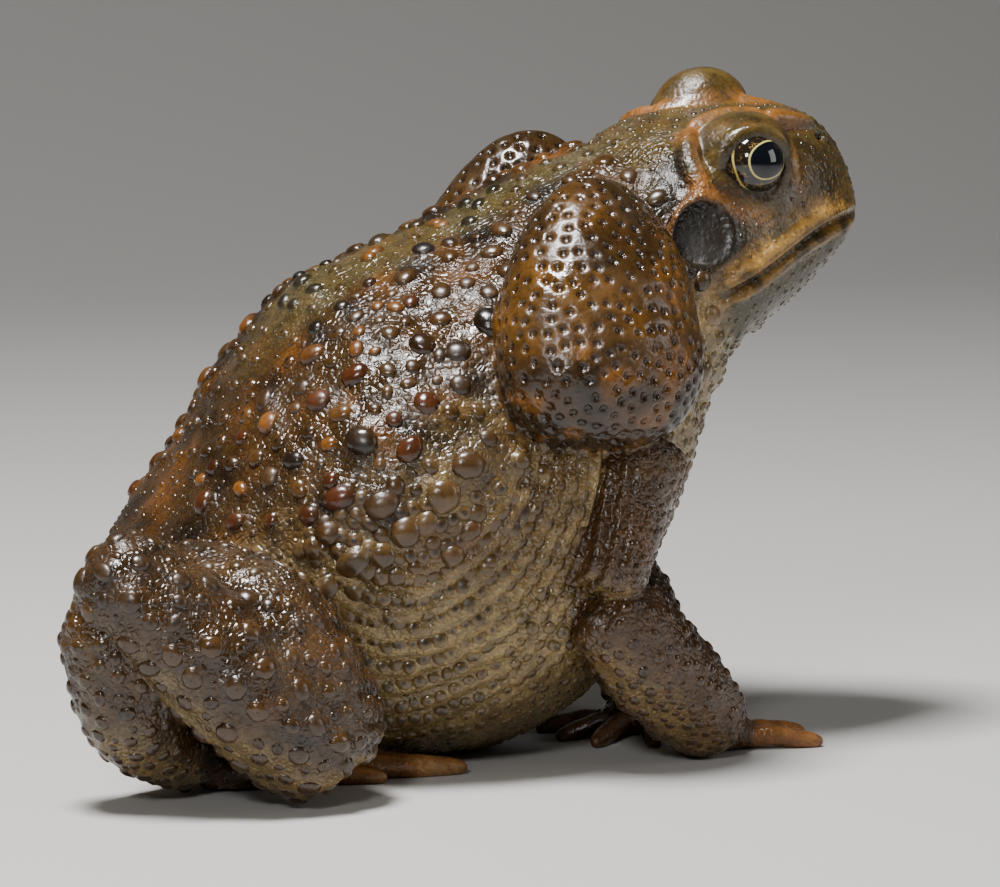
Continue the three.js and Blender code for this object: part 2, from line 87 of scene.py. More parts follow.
# The eyes, lids, nostrils, cushions before the eyes and eardrums, as on the left half of the head.
EYE_AT = np.array((13.8, 14.6, 16.0))
EYE_RADIUS = 6.3
LID_AT = {RIGHT: (13.4, 12.4, 18), LEFT: (15, 12.4, 18)}
LID_RADII = {RIGHT: (8.6, 7.2, 6), LEFT: (8.8, 7.2, 8.1)}
LID_RIM = {"wide": 6.4, "tall": 6.1, "out": 3.2}
NOSTRIL_AT = np.array((29.4, 5.8, 13.6))
NOSTRIL_RADII = (2.2, 2, 1.9)
NOSTRIL_HOLE = {"off": (0.6, 1.7, 0.5), "deep": 1.8, "wide": 0.95}
CUSHION_AT = np.array((20.8, 14.4, 13.0))
CUSHION_RADII = (1.7, 1.6, 2.4)
EARDRUM_AT = np.array((0.6, 25, 9.6))
EARDRUM_RADIUS = 5.2
EARDRUM_DEPTH = 0.9
MOUTH_LINE = {"deep": 1.25, "wide": 0.75}
# Each lip: its rise over the line of the mouth, its radius, and how far it is drawn back at the snout.
LIPS = ((1.5, 1.5, 2.2), (-1.6, 1.3, 4.2))
# The bony ridges of the head: the radii along each, and the points of its line.
CRESTS = {
    "canthal": ((1.4, 1.8, 1.9), ((30, 5.2, 15.6), (25, 6.8, 18.4), (20, 8.4, 20.8))),
    "brow": ((1.9, 1.7, 1.9), ((20, 8.4, 20.8), (13.5, 7, 22.6), (6, 10, 22.8))),
    "postorbital": ((1.9, 2.2, 1.9), ((6, 10, 22.8), (3.2, 16.6, 19.6), (3.4, 21.6, 15.2))),
    "ear": ((1.7, 1.3, 1.1), ((3.4, 21.6, 15.2), (-2.5, 23.6, 13.4), (-5.5, 24.6, 9))),
    "suborbital": ((1.9, 1.5, 1.2), ((3.4, 21.6, 15), (8, 21.8, 9.6), (12, 21, 7))),
    "preocular": ((1.4, 1.6, 1.2), ((20.6, 10, 19.4), (22, 13.2, 14.6), (20.6, 16, 9.8))),
}
CREST_SLIMNESS = 0.86
# One shoulder gland's half sizes, how far its top leans forward, and how much narrower it is there.
GLAND = {"long": 19, "thick": 12.5, "tall": 23.2, "lean": 1.6, "taper": 0.26}
GLAND_AT = {
    RIGHT: {"at": (17.5, -34, 78), "yaw": 14, "roll": 20, "pitch": 6},
    LEFT: {"at": (24, 35, 80.5), "yaw": -14, "roll": -2, "pitch": 6},
}
ARM = {
    RIGHT: {
        "shoulder": (27, -29, 56), "elbow": (16.7, -36.5, 30.3), "wrist": (40, -23.5, 6.5),
        "palm": (42, -19.5, 0), "yaw": 32,
    },
    LEFT: {
        "shoulder": (30, 25, 62), "elbow": (43, 31, 24), "wrist": (41, 12, 7), "palm": (39, 6, 0), "yaw": 222,
    },
}
LEG = {
    RIGHT: {
        "hip": (-54, -22, 30), "thigh": (-41, -42, 26), "knee": (-30, -44.5, 5), "calf": (-31, -46, 5.5),
        "heel": (-70.5, -42.5, 41), "turn": (-63, -39.5, 15.5), "sole": (-49, -28, 4.5), "yaw": 1,
    },
    LEFT: {
        "hip": (-44, 22, 30), "thigh": (-20, 44, 24), "knee": (-1.5, 53, 6.5), "calf": (-3, 57, 8),
        "heel": (-46, 49, 25), "turn": (-43, 46, 11), "sole": (-30, 43, 4.5), "yaw": 4,
    },
}
# A palm or sole, and its digits: how far each is fanned out in degrees, its reach and its radius.
PALM = {"long": 9, "wide": 5.6, "thick": 3.4}
FINGERS = ((-46, 10, 1.7), (-16, 12, 1.7), (8, 14, 1.8), (38, 11, 1.7))
SOLE = {"long": 18, "wide": 6.5, "thick": 3.6}
TOES = ((52, 10, 1.6), (34, 14, 1.7), (17, 20, 1.8), (0, 28, 2.1), (-9, 13, 1.8))
# The heights of a digit's middle line, in its radii, at shares of its length, and its thickness along it.
DIGIT_LINE = ((0.2, 1.5), (0.36, 1.62), (0.52, 1.4), (0.68, 1.18), (0.84, 0.95), (1, 0.75))
DIGIT_RADII = (1.25, 1.05, 1.06, 1, 1.02, 0.94, 0.86)
# How far hands and feet are pressed into the floor, and how far over it the skin then ends.
PRESSED = 0.5
FLOOR_ROOM = 0.02
# The pores of the glands: the room between them, their depth and width, and the rise of the cobbles between.
PORE_ROOM = 2.35
PORE = {"deep": 0.5, "wide": 0.52, "cobble": 0.16}

# The fineness of the skin while it is shaped, and its triangles when it is finished.
VOXEL = 0.52
SKIN_TRIANGLES = 192000

# Slack of the skin: the size of its lumps, how far they rise and fall, and their seed.
SLACK = ((11, 1.3, 3), (5, 0.5, 4))
# The folds of the lower flank sweep in arcs round a middle above and behind the elbow, rising to the armpit.
FOLD_MIDDLE = np.array((-18.0, 74.0))
FOLD_STRETCH = np.array((1.6, 1.0))
FOLD_STEP = 3.7
FOLD_HEIGHT = 0.45
THROAT_FOLD_STEP = 4.6
THROAT_FOLD_HEIGHT = 0.5
# The rows of small warts along those folds: the first one's reach, how many, and the room along them.
ROWS = {"first": 27.5, "count": 14, "room": 3.5}

# The view that the model is shown from: turned and raised in degrees, the rest in millimetres.
VIEW_TURN = 17
VIEW_RAISE = 7
VIEW_DISTANCE = 900
VIEW_AIM = np.array((10.8, 0, 52.0))
VIEW_LENS = 188.37
VIEW_SENSOR = 36.0

# The large warts of the right flank and back, by tone: how far they are right of the view's middle and above
# it, and their radius.
BIG_WARTS = {
    "red": [
        (-24.8, 11.6, 2.1), (-12.7, 6.8, 2.1), (-15.5, -1.1, 2.2), (-18.2, 4, 1.5), (-31, 7.1, 2.1),
        (-15.3, 24, 1.5), (-27.5, -9.5, 2.4), (-28.9, -6.6, 1.5), (-32.7, -12.5, 1.7), (-44, 0.9, 1.5),
        (-50.7, -10.2, 1.9), (-45.2, -13.5, 1.7), (-39.2, -13.3, 1.4), (-49, -4.2, 1.5),
    ],
    "dark": [
        (-13.4, 16.8, 2.2), (-7.2, 15.4, 2.2), (-10.3, 15, 1.4), (-1.9, 20.6, 2.6), (-23.7, 0.3, 2.6),
        (-31.5, 19.7, 1.5), (-27.2, 23.3, 1.4), (-22.4, 27.4, 1.2), (-31.8, 26.2, 1.5),
        (-35.3, 23.6, 1.5), (-8.6, 34.1, 1.5), (-13.1, 32.9, 1.9), (-5.2, 37.9, 1.4), (-1, 43.3, 1.5),
        (-35.3, -3, 1.7),
    ],
    "brown": [
        (-19.3, 8.7, 1.2), (-8.6, 5.4, 1.5), (-4, 5.4, 1.4), (-2.2, 0.9, 1.5), (-5.7, -3.7, 2.6),
        (-20.6, -3.7, 1.2), (-12, -4, 1.4), (-10, -9, 2.8), (-20.3, -10.6, 2.6), (-18.1, -7.3, 1.7),
        (-14.4, -8, 1.2), (-24.6, -12.3, 1.4), (-16.3, -15.2, 2.6), (-12.7, -13.7, 2.1),
        (-5.2, -14.9, 1.9), (-29.4, -15.4, 2.1), (-32.2, -18.1, 1.9), (-25.3, -20.4, 2.6),
        (-20.3, -19.2, 2.2), (-11.7, -17.1, 1.4), (-8.3, -19.2, 1.9), (-5.5, -22.3, 1.5),
        (-1.7, -20.2, 1.5), (-14.6, -21.2, 1.4), (-29.6, -24.3, 2.1), (-33.9, -23.5, 1.5),
        (-25.1, -25.4, 1.7),
    ],
    "orange": [
        (-24.6, 16.1, 1.5), (-21.5, 15.7, 1), (-17.9, 23, 1.5), (-21, 23.3, 1.2), (-24.1, 19, 1.2),
        (-32, 15, 2.1), (-39.6, 25.9, 1.5), (-42.5, 23.3, 1.4), (-26.7, 33.8, 1.2), (-23.2, 35.7, 1.5),
        (-29.9, 31.6, 1.2), (-33.4, 30.2, 1), (-22.4, 31.7, 1.7), (-18.1, 37.4, 1.4), (-11, 37.4, 1.5),
        (-39.6, 3.4, 1.9), (-44.4, -8, 1.5), (-55, 1.3, 1.4), (-29.2, -0.3, 1.5),
    ],
}

# Colours as they look on a screen, 0 to 255.
COLOURS = {
    "back": (63, 43, 17),
    "back_dark": (28, 21, 11),
    "band": (84, 74, 42),
    "flank": (106, 81, 40),
    "crease": (160, 136, 88),
    "belly": (114, 96, 58),
    "gland": (92, 62, 23),
    # Dark brown of the glands, also laid under them as painted shade.
    "gland_dark": (30, 22, 11),
    "gland_orange": (122, 78, 26),
    "head": (84, 68, 29),
    "crest": (142, 90, 34),
    "temple": (30, 24, 15),
    "drum": (36, 29, 20),
    "lore": (54, 42, 20),
    "lip": (154, 116, 56),
    "jaw": (66, 56, 30),
    # Painted shade for the slit of the mouth and the holes of the nostrils.
    "mouth": (22, 16, 10),
    "limb": (64, 43, 20),
    "limb_grey": (82, 61, 32),
    "forearm": (82, 54, 23),
    "digit": (142, 90, 36),
    "digit_pale": (186, 150, 98),
    "red": (74, 36, 15),
    "dark": (19, 15, 11),
    "brown": (78, 53, 25),
    "orange": (122, 74, 24),
    "tip": (16, 11, 6),
}


def linear(name):
    """A named colour in the linear numbers that a mesh attribute or a shader takes."""
    value = np.array(COLOURS[name], float) / 255
    return np.where(value <= 0.04045, value / 12.92, ((value + 0.055) / 1.055) ** 2.4)


def unit(rows):
    """Rows of vectors, each scaled to length 1."""
    return rows / np.maximum(np.linalg.norm(rows, axis=-1, keepdims=True), 1e-12)


def ramp(low, high, value):
    """0 below low, 1 above high and smooth between, or the other way round when low is above high."""
    share = np.clip((value - low) / (high - low), 0, 1)
    return share * share * (3 - 2 * share)


def mirrored(at, side):
    """A point of the left half, or its mirror image on the right."""
    return np.array((at[0], at[1] * side, at[2]), float)


def through(table, at):
    """The smooth curve through a table's rows, read at values from 0 to 1."""
    last = len(table) - 1
    place = np.clip(at, 0, 1) * last
    span = np.minimum(np.floor(place).astype(int), last - 1)
    u = (place - span)[:, None]
    a, b, c, d = (table[np.clip(span + k, 0, last)] for k in (-1, 0, 1, 2))
    return 0.5 * (2 * b + (c - a) * u + (2 * a - 5 * b + 4 * c - d) * u**2 + (3 * b - a - 3 * c + d) * u**3)


def skin_point(stations, t, turn, fullness=6, dorsal=UP, square=1.0):
    """Points on a body lofted through stations, t along it and turn round it, 0 on top, + to the left."""
    line = stations[:, :3]
    centre = through(line, t)
    along = unit(through(line, t + 0.01) - through(line, t - 0.01))
    wide, up, down, roll = through(stations[:, 3:], t).T
    side = unit(np.cross(dorsal, along))
    roll = np.radians(roll)[:, None]
    side = side * np.cos(roll) + np.cross(along, side) * np.sin(roll)
    top = np.cross(along, side)
    end = np.sqrt(np.clip(1 - np.abs(2 * t - 1) ** fullness, 0, None))
    across, height = np.sin(turn), np.cos(turn)
    reach = np.where(height > 0, up, down)
    across = np.sign(across) * np.abs(across) ** square * wide * end
    height = np.sign(height) * np.abs(height) ** square * reach * end
    return centre + side * across[:, None] + top * height[:, None]


def cloud(points, size, seed):
    """Smooth random values from 0 to 1 through space, in lumps of about this size."""
    place = points / size + seed * 7.31
    cell = np.floor(place).astype(np.int64)
    share = place - cell
    share = share * share * (3 - 2 * share)
    total = np.zeros(len(points))
    for corner in product((0, 1), repeat=3):
        x, y, z = (cell + corner).T
        # Large primes scramble the corner's place into a number that looks random.
        key = (x * 73856093) ^ (y * 19349663) ^ (z * 83492791) ^ (seed * 265443)
        key = (key ^ (key >> 13)) * 1274126177 & 0xFFFFFFFF
        value = ((key ^ (key >> 16)) & 0xFFFFFF) / 0xFFFFFF
        total += value * np.prod(np.where(corner, share, 1 - share), axis=1)
    return total


def turned(axis, angle):
    """The matrix that turns points about X, Y or Z by an angle in degrees."""
    c, s = math.cos(math.radians(angle)), math.sin(math.radians(angle))
    return np.array({
        "X": ((1, 0, 0), (0, c, -s), (0, s, c)),
        "Y": ((c, 0, s), (0, 1, 0), (-s, 0, c)),
        "Z": ((c, -s, 0), (s, c, 0), (0, 0, 1)),
    }[axis])


HEAD_TURN = turned("X", HEAD_ROLL) @ turned("Y", -HEAD_PITCH)


def from_head(points):
    """Points of the head's own frame in the toad's frame."""
    return np.atleast_2d(points) @ HEAD_TURN.T + HEAD_AT


def to_head(points):
    """Points of the toad's frame in the head's own frame."""
    return (np.atleast_2d(points) - HEAD_AT) @ HEAD_TURN


def far_from(points, at, side):
    """Each point's distance from a place of the left half, or from its mirror image."""
    return np.linalg.norm(points - mirrored(at, side), axis=1)


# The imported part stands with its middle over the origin, so the right eye says how far it was moved.
eye_low, eye_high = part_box("eye_right")
SHIFT = np.array((eye_low + eye_high) / 2) / MM - from_head(mirrored(EYE_AT, RIGHT))[0]
SHIFT[2] = 0


def clear_selection():
    if bpy.context.object and bpy.context.object.mode != "OBJECT":
        bpy.ops.object.mode_set(mode="OBJECT")
    bpy.ops.object.select_all(action="DESELECT")


def select_only(obj):
    clear_selection()
    obj.select_set(True)
    bpy.context.view_layer.objects.active = obj


def triples(items, field):
    """One field of a mesh's points, as rows of three numbers."""
    flat = np.empty(len(items) * 3, np.float32)
    items.foreach_get(field, flat)
    return flat.reshape(-1, 3).astype(float)


def coordinates(obj):
    """A mesh's points in millimetres in the toad's frame."""
    return triples(obj.data.vertices, "co") / MM - SHIFT


def place(obj, points):
    """Moves a mesh's points to these places."""
    obj.data.vertices.foreach_set("co", ((points + SHIFT) * MM).astype(np.float32).ravel())
    obj.data.update()


def normals(obj):
    return triples(obj.data.vertex_normals, "vector")


def search_tree(points):
    """Points sorted so that the nearest ones to a place are found fast."""
    tree = KDTree(len(points))
    for number, at in enumerate(points):
        tree.insert(at, number)
    tree.balance()
    return tree


def ball(name, segments, rings):
    """A new unit ball and its points, still round, to be reshaped."""
    clear_selection()
    bpy.ops.mesh.primitive_uv_sphere_add(segments=segments, ring_count=rings, radius=1, location=(0, 0, 0))
    obj = bpy.context.object
    obj.name = name
    return obj, triples(obj.data.vertices, "co")


forms = []


def keep_form(obj, kind, side, points, t, turn):
    """Notes where each point of a form lies along and round it, so that the skin can be painted by it."""
    place(obj, points)
    forms.append({"obj": obj, "kind": kind, "side": side, "points": points, "t": t, "turn": turn})


def loft(kind, side, stations, segments=48, rings=40, matrix=None, **form):
    """A ball drawn out along stations."""
    obj, round_points = ball(kind, segments, rings)
    height = np.clip(round_points[:, 2], -1, 1)
    t = (np.arccos(height) / math.pi + (1 - height) / 2) / 2
    turn = np.arctan2(round_points[:, 1], round_points[:, 0])
    points = skin_point(stations, t, turn, **form)
    keep_form(obj, kind, side, matrix(points) if matrix else points, t, turn)


def rod(kind, side, points, radii, flat=1.0, **form):
    """A rounded rod along points, with a radius at each, flattened by this share."""
    rows = []
    for i, at in enumerate(points):
        r = radii[min(i, len(radii) - 1)]
        rows.append((*at, r, r * flat, r * flat, 0))
    loft(kind, side, np.array(rows, float), **form)


def egg(kind, side, centre, radii, matrix=None, segments=40, rings=28):
    """A rounded lump such as a lid or a nostril's swelling."""
    obj, round_points = ball(kind, segments, rings)
    points = round_points * np.array(radii) + np.array(centre)
    t = (round_points[:, 2] + 1) / 2
    turn = np.arctan2(round_points[:, 1], round_points[:, 0])
    keep_form(obj, kind, side, matrix(points) if matrix else points, t, turn)


def between(a, b, share):
    return tuple(np.array(a) + (np.array(b) - np.array(a)) * share)


def lip_line(side, lift, back=1.4):
    """One lip's line, from the jaw corner to the snout, drawn back there, in the head's own frame."""
    share = np.linspace(0, 1, 25)
    line = skin_point(HEAD, 0.24 + 0.76 * share, np.full(25, side * math.pi / 2), ROUND_ENDS, UP, HEAD_SQUARE)
    line[:, 2] += lift + 3 * np.sin(math.pi * share) - 1.6
    line[:, 0] -= back * share**5
    return line


def shape_head():
    """The head with its lids, bony ridges, nostrils, lid rims and lips."""
    loft("head", 0, HEAD, 96, 72, from_head, fullness=ROUND_ENDS, square=HEAD_SQUARE)
    for side in (RIGHT, LEFT):
        egg("lid", side, mirrored(LID_AT[side], side), LID_RADII[side], from_head)
        sunk = (0, 0, 1.2 if side == LEFT else 0)
        for radii, line in CRESTS.values():
            ridge = [mirrored(at, side) - sunk for at in line]
            slim = [r * CREST_SLIMNESS for r in radii]
            rod("crest", side, ridge, slim, segments=20, rings=24, matrix=from_head)
        egg("lid", side, mirrored(CUSHION_AT, side), CUSHION_RADII, from_head, 24, 16)
        egg("nostril", side, mirrored(NOSTRIL_AT, side), NOSTRIL_RADII, from_head, 24, 16)
        angle = np.linspace(0, math.pi, 7)
        for above in (1, -1):
            rise = np.sin(angle) * LID_RIM["tall"] * above
            line = np.stack([EYE_AT[0] + np.cos(angle) * LID_RIM["wide"],
                             side * (EYE_AT[1] + LID_RIM["out"] - 0.14 * np.abs(rise)), EYE_AT[2] + rise], 1)
            r = 1.3 if above > 0 else 1.05
            rod("lid_rim", side, line, (r * 0.7, r, r, r, r, r, r * 0.7), segments=16, rings=40,
                matrix=from_head)
    for lift, radius, back in LIPS:
        line = np.concatenate([lip_line(RIGHT, lift, back), lip_line(LEFT, lift, back)[::-1][1:]])
        share = np.linspace(0, math.pi, len(line))
        rod("lip", 0, line, radius * (1 - 0.35 * np.sin(share) ** 4), segments=16, rings=90, fullness=12,
            matrix=from_head)


def shape_gland(side):
    """One broad hanging shoulder gland, narrower above."""
    spot = GLAND_AT[side]
    obj, ball_points = ball("gland", 72, 56)
    x, y, z = ball_points.T
    narrow = 1 - GLAND["taper"] * (z + 0.35)

    def boxed(value):
        return np.sign(value) * np.abs(value) ** 0.85

    corner = np.where((x < 0) & (z < 0), 3 * x * z * z, 0)
    points = np.stack([
        GLAND["long"] * boxed(x) * narrow + GLAND["lean"] * z + corner,
        GLAND["thick"] * y * (1 - 0.3 * z),
        GLAND["tall"] * boxed(z),
    ], 1)
    lean = turned("Z", spot["yaw"]) @ turned("Y", spot["pitch"]) @ turned("X", spot["roll"] * side)
    points = points @ lean.T + np.array(spot["at"])
    keep_form(obj, "gland", side, points, (z + 1) / 2, np.arctan2(y * side, x))


def shape_digits(kind, side, at, yaw, flip, palm, digits):
    """A palm or sole with its digits fanned out from the front edge, laid on the floor."""
    def matrix(points):
        return points @ turned("Z", yaw).T + np.array((at[0], at[1], -PRESSED))

    long, wide, thick = palm["long"], palm["wide"], palm["thick"]
    rod(kind, side, ((-2, 0, thick), (long * 0.5, 0, thick), (long, 0, thick * 0.7)),
        (wide * 0.8, wide, wide * 0.8), thick / wide, segments=32, rings=28, matrix=matrix)
    for fan, reach, r in digits:
        angle = math.radians(fan * flip)
        root = np.array((long * 0.6, math.sin(angle) * wide * 0.9, r * 1.3))
        step = np.array((math.cos(angle), math.sin(angle), 0)) * (reach + long * 0.4)
        line = [root]
        for share, height in DIGIT_LINE:
            line.append(np.array((*(root + step * share)[:2], r * height)))
        rod("digit", side, line, [r * share for share in DIGIT_RADII], segments=24, rings=36, matrix=matrix)


def shape_limbs(side):
    """One side's foreleg and hind leg, with their hand and foot."""
    arm, leg = ARM[side], LEG[side]
    middle = between(arm["shoulder"], arm["elbow"], 0.5)
    rod("upper_arm", side, (arm["shoulder"], middle, arm["elbow"]), (10, 7.6, 7.4), dorsal=FORWARD)
    forearm = [between(arm["elbow"], arm["wrist"], share) for share in (0, 0.55, 1.16)]
    rod("forearm", side, forearm, (7.4, 9, 7))
    shape_digits("hand", side, arm["palm"], arm["yaw"], side, PALM, FINGERS)
    rod("thigh", side, (leg["hip"], leg["thigh"], leg["knee"]), (12, 11.5, 10))
    calf_middle = np.array(between(leg["calf"], leg["heel"], 0.45)) + (0, side * 3, 1)
    rod("shank", side, (leg["calf"], calf_middle, leg["heel"]), (9.6, 10.6, 8.6))
    rod("tarsus", side, (between(leg["heel"], leg["turn"], 0.25), leg["turn"], leg["sole"]), (8.2, 8.2, 5.6),
        dorsal=FORWARD)
    shape_digits("foot", side, leg["sole"], leg["yaw"], -side, SOLE, TOES)


loft("trunk", 0, TRUNK, 96, 80, fullness=ROUND_ENDS)
shape_head()
for side in (RIGHT, LEFT):
    shape_gland(side)
    shape_limbs(side)


def join_skin():
    """All the forms grown together into one skin of fine, even facets."""
    clear_selection()
    for form in forms:
        form["obj"].select_set(True)
    skin = forms[0]["obj"]
    bpy.context.view_layer.objects.active = skin
    bpy.ops.object.join()
    skin.name = "skin"
    skin.data.name = "skin"
    remesh = skin.modifiers.new("grow together", "REMESH")
    remesh.mode = "VOXEL"
    remesh.voxel_size = VOXEL * MM
    remesh.use_smooth_shade = True
    bpy.ops.object.modifier_apply(modifier=remesh.name)
    smooth = skin.modifiers.new("soften", "SMOOTH")
    smooth.factor = 0.5
    smooth.iterations = 5
    bpy.ops.object.modifier_apply(modifier=smooth.name)
    return skin


skin = join_skin()

HEAD_KINDS = ("head", "lid", "lid_rim", "crest", "nostril", "lip")
LIMB_KINDS = ("upper_arm", "forearm", "thigh", "shank", "tarsus")
KINDS = ("trunk", *HEAD_KINDS, "gland", *LIMB_KINDS, "hand", "foot", "digit")
KIND = {name: number for number, name in enumerate(KINDS)}
form_points, form_t, form_turn = (
    np.concatenate([form[key] for form in forms]) for key in ("points", "t", "turn")
)
form_kind = np.concatenate([np.full(len(form["t"]), KIND[form["kind"]]) for form in forms])
form_side = np.concatenate([np.full(len(form["t"]), form["side"]) for form in forms])
form_tree = search_tree(form_points)


def read_forms(points):
    """For each point, the form that it lies on and its place along and round it."""
    nearest = np.array([[hit[1] for hit in form_tree.find_n(at, 3)] for at in points])
    apart = np.linalg.norm(form_points[nearest] - points[:, None], axis=2) + 0.05
    first = nearest[:, :1]
    same = (form_kind[nearest] == form_kind[first]) & (form_side[nearest] == form_side[first])
    weight = same / apart
    weight /= weight.sum(1, keepdims=True)
    t = (form_t[nearest] * weight).sum(1)
    sine, cosine = np.sin(form_turn[nearest]), np.cos(form_turn[nearest])
    turn = np.arctan2((sine * weight).sum(1), (cosine * weight).sum(1))
    first = first[:, 0]
    return {"kind": form_kind[first], "side": form_side[first], "t": t, "turn": np.degrees(turn)}


def is_kind(zone, *names):
    return np.isin(zone["kind"], [KIND[name] for name in names])


def along_line(points, line):
    """Each point's distance from a line through places, and how far along the line its nearest place is."""
    best = np.full(len(points), 1e9)
    share = np.zeros(len(points))
    count = len(line) - 1
    for i in range(count):
        a, b = line[i], line[i + 1]
        step = b - a
        s = np.clip(((points - a) @ step) / max(step @ step, 1e-9), 0, 1)
        apart = np.linalg.norm(points - (a + s[:, None] * step), axis=1)
        nearer = apart < best
        best = np.where(nearer, apart, best)
        share = np.where(nearer, (i + s) / count, share)
    return best, share


def fold_reach(points):
    """Distance of points from the middle of the folds, as seen from the side."""
    apart = (points[:, [0, 2]] - FOLD_MIDDLE) * FOLD_STRETCH
    return np.hypot(apart[:, 0], apart[:, 1])


def shape_skin(skin):
    """Sockets, mouth, nostrils, eardrums, folds and slack, pushed into the finished skin."""
    points = coordinates(skin)
    outward = normals(skin)
    head = to_head(points)
    push = np.zeros(len(points))

    slack = sum((cloud(points, size, seed) - 0.5) * rise for size, rise, seed in SLACK)
    on_head = ramp(-2, 6, head[:, 0]) * ramp(-26, -18, head[:, 2])
    push += slack * (1 - 0.75 * on_head) * ramp(6, 16, points[:, 2])

    reach = fold_reach(points) + (cloud(points, 14, 5) - 0.5) * 3.5
    folded = (ramp(33, 40, reach) * ramp(78, 62, reach) * ramp(12, 24, np.abs(points[:, 1]))
              * ramp(-38, -24, points[:, 0]) * ramp(27, 20, points[:, 0]) * ramp(62, 54, points[:, 2])
              * ramp(2, 8, points[:, 2]))
    push += FOLD_HEIGHT * folded * np.cos(reach * 2 * math.pi / FOLD_STEP)

    throat = (ramp(-8, -14, head[:, 2]) * ramp(-38, -28, head[:, 2]) * ramp(-14, -4, head[:, 0])
              * ramp(16, 8, head[:, 0]))
    push += THROAT_FOLD_HEIGHT * throat * np.cos(head[:, 0] * 2 * math.pi / THROAT_FOLD_STEP)

    for side in (RIGHT, LEFT):
        apart, share = along_line(head, lip_line(side, 0.0))
        push -= MOUTH_LINE["deep"] * np.exp(-((apart / MOUTH_LINE["wide"]) ** 2)) * ramp(0.02, 0.1, share)

        hole = mirrored(NOSTRIL_AT + NOSTRIL_HOLE["off"], side)
        offset = (head - hole) * (1, 1, 1.5)
        push -= NOSTRIL_HOLE["deep"] * np.exp(-((np.linalg.norm(offset, axis=1) / NOSTRIL_HOLE["wide"]) ** 2))

        drum = mirrored(EARDRUM_AT, side)
        offset = head - drum
        ring = np.hypot(offset[:, 0] * 1.08, offset[:, 2]) / EARDRUM_RADIUS
        near = (np.abs(offset[:, 1]) < 7) & (side * head[:, 1] > 12)
        middle = near & (ring < 0.35)
        facing = unit(outward[middle].mean(0))
        level = (points[middle].mean(0) @ facing) - EARDRUM_DEPTH
        sink = (level - points @ facing) / np.maximum(outward @ facing, 0.4)
        push += near * np.clip(sink, -2.2, 0.6) * ramp(1.08, 0.9, ring)
        push += near * 0.25 * np.exp(-(((ring - 1.16) / 0.12) ** 2))

    points += outward * push[:, None]

    head = to_head(points)
    for side in (RIGHT, LEFT):
        eye = mirrored(EYE_AT, side)
        offset = head - eye
        ring = np.hypot(offset[:, 0] / (LID_RIM["wide"] - 0.9), offset[:, 2] / (LID_RIM["tall"] - 0.8))
        outer = side * offset[:, 1] > 0
        apart = np.linalg.norm(offset, axis=1)
        sunk = (ring < 1) & outer & (apart < 12)
        inside = eye + offset * np.minimum(1, (EYE_RADIUS - 0.7) / np.maximum(apart, 1e-6))[:, None]
        head = np.where(sunk[:, None], inside, head)
    points = from_head(head)
    points[:, 2] = np.maximum(points[:, 2], FLOOR_ROOM)
    place(skin, points)


shape_skin(skin)


def scattered(points, room, seed):
    """Numbers of points spread at random, none nearer to another than this room."""
    grid, kept = {}, []
    for i in np.random.default_rng(seed).permutation(len(points)):
        x, y, z = np.floor(points[i] / room).astype(int)
        near = [other for step in product((-1, 0, 1), repeat=3)
                for other in grid.get((x + step[0], y + step[1], z + step[2]), ())]
        if all(np.sum((points[i] - other) ** 2) > room * room for other in near):
            grid.setdefault((x, y, z), []).append(points[i])
            kept.append(i)
    return kept


def pit_gland(skin):
    """Presses the pores into the shoulder glands, with a soft rise between them, and returns their places."""
    points = coordinates(skin)
    outward = normals(skin)
    on_gland = np.zeros(len(points), bool)
    for form in forms:
        if form["kind"] == "gland":
            low, high = form["points"].min(0) - 1, form["points"].max(0) + 1
            on_gland |= ((points > low) & (points < high)).all(1)
    numbers = np.flatnonzero(on_gland)
    zone = read_forms(points[numbers])
    numbers = numbers[is_kind(zone, "gland")]
    pores = points[numbers[scattered(points[numbers], PORE_ROOM, 9)]]
    pore_tree = search_tree(pores)
    apart = np.array([pore_tree.find(at)[2] for at in points[numbers]])
    depth = PORE["deep"] * np.exp(-((apart / PORE["wide"]) ** 2)) - PORE["cobble"] * ramp(0.6, 1.3, apart)
    points[numbers] -= outward[numbers] * depth[:, None]
    place(skin, points)
    return pore_tree


def thin_skin(skin):
    """Fewer facets, kept finest where the skin bends most."""
    skin.data.calc_loop_triangles()
    share = SKIN_TRIANGLES / len(skin.data.loop_triangles)
    if share < 1:
        thin = skin.modifiers.new("thin", "DECIMATE")
        thin.ratio = share
        select_only(skin)
        bpy.ops.object.modifier_apply(modifier=thin.name)
    select_only(skin)
    bpy.ops.object.shade_smooth()


gland_pores = pit_gland(skin)
thin_skin(skin)

skin_points = coordinates(skin)
skin_normals = normals(skin)
skin_zone = read_forms(skin_points)


def paint(tint, colour, mask):
    """Lays a colour over a tint as strongly as the mask says."""
    mask = np.clip(mask, 0, 1)[:, None]
    tint[:] = tint * (1 - mask) + linear(colour) * mask


# Places on the head that are painted, in its own frame.
LORE_AT = (23.5, 12, 10)
TEMPLE_AT = (1, 15.5, 19.5)
BELOW_DRUM = (2.8, 24.5, 4.6)
JAW_CORNER = (-2.5, 26.5, -3.6)
# How strongly each bony ridge is painted.
CREST_PAINT = {
    "canthal": 0.7, "brow": 0.7, "postorbital": 0.95, "ear": 0.6, "suborbital": 0.45, "preocular": 0.2,
}
# The dark patches of the trunk: how far along it, how far round from the back in degrees, and their reach.
DARK_PATCHES = ((0.30, 20, 5), (0.38, 22, 4), (0.47, 21, 5), (0.56, 20, 4), (0.66, 19, 6), (0.74, 17, 5),
                (0.13, 48, 6), (0.2, 34, 4), (0.66, 56, 8), (0.58, 66, 7), (0.5, 60, 4), (0.4, 58, 4),
                (0.28, 62, 4), (0.33, 75, 4))


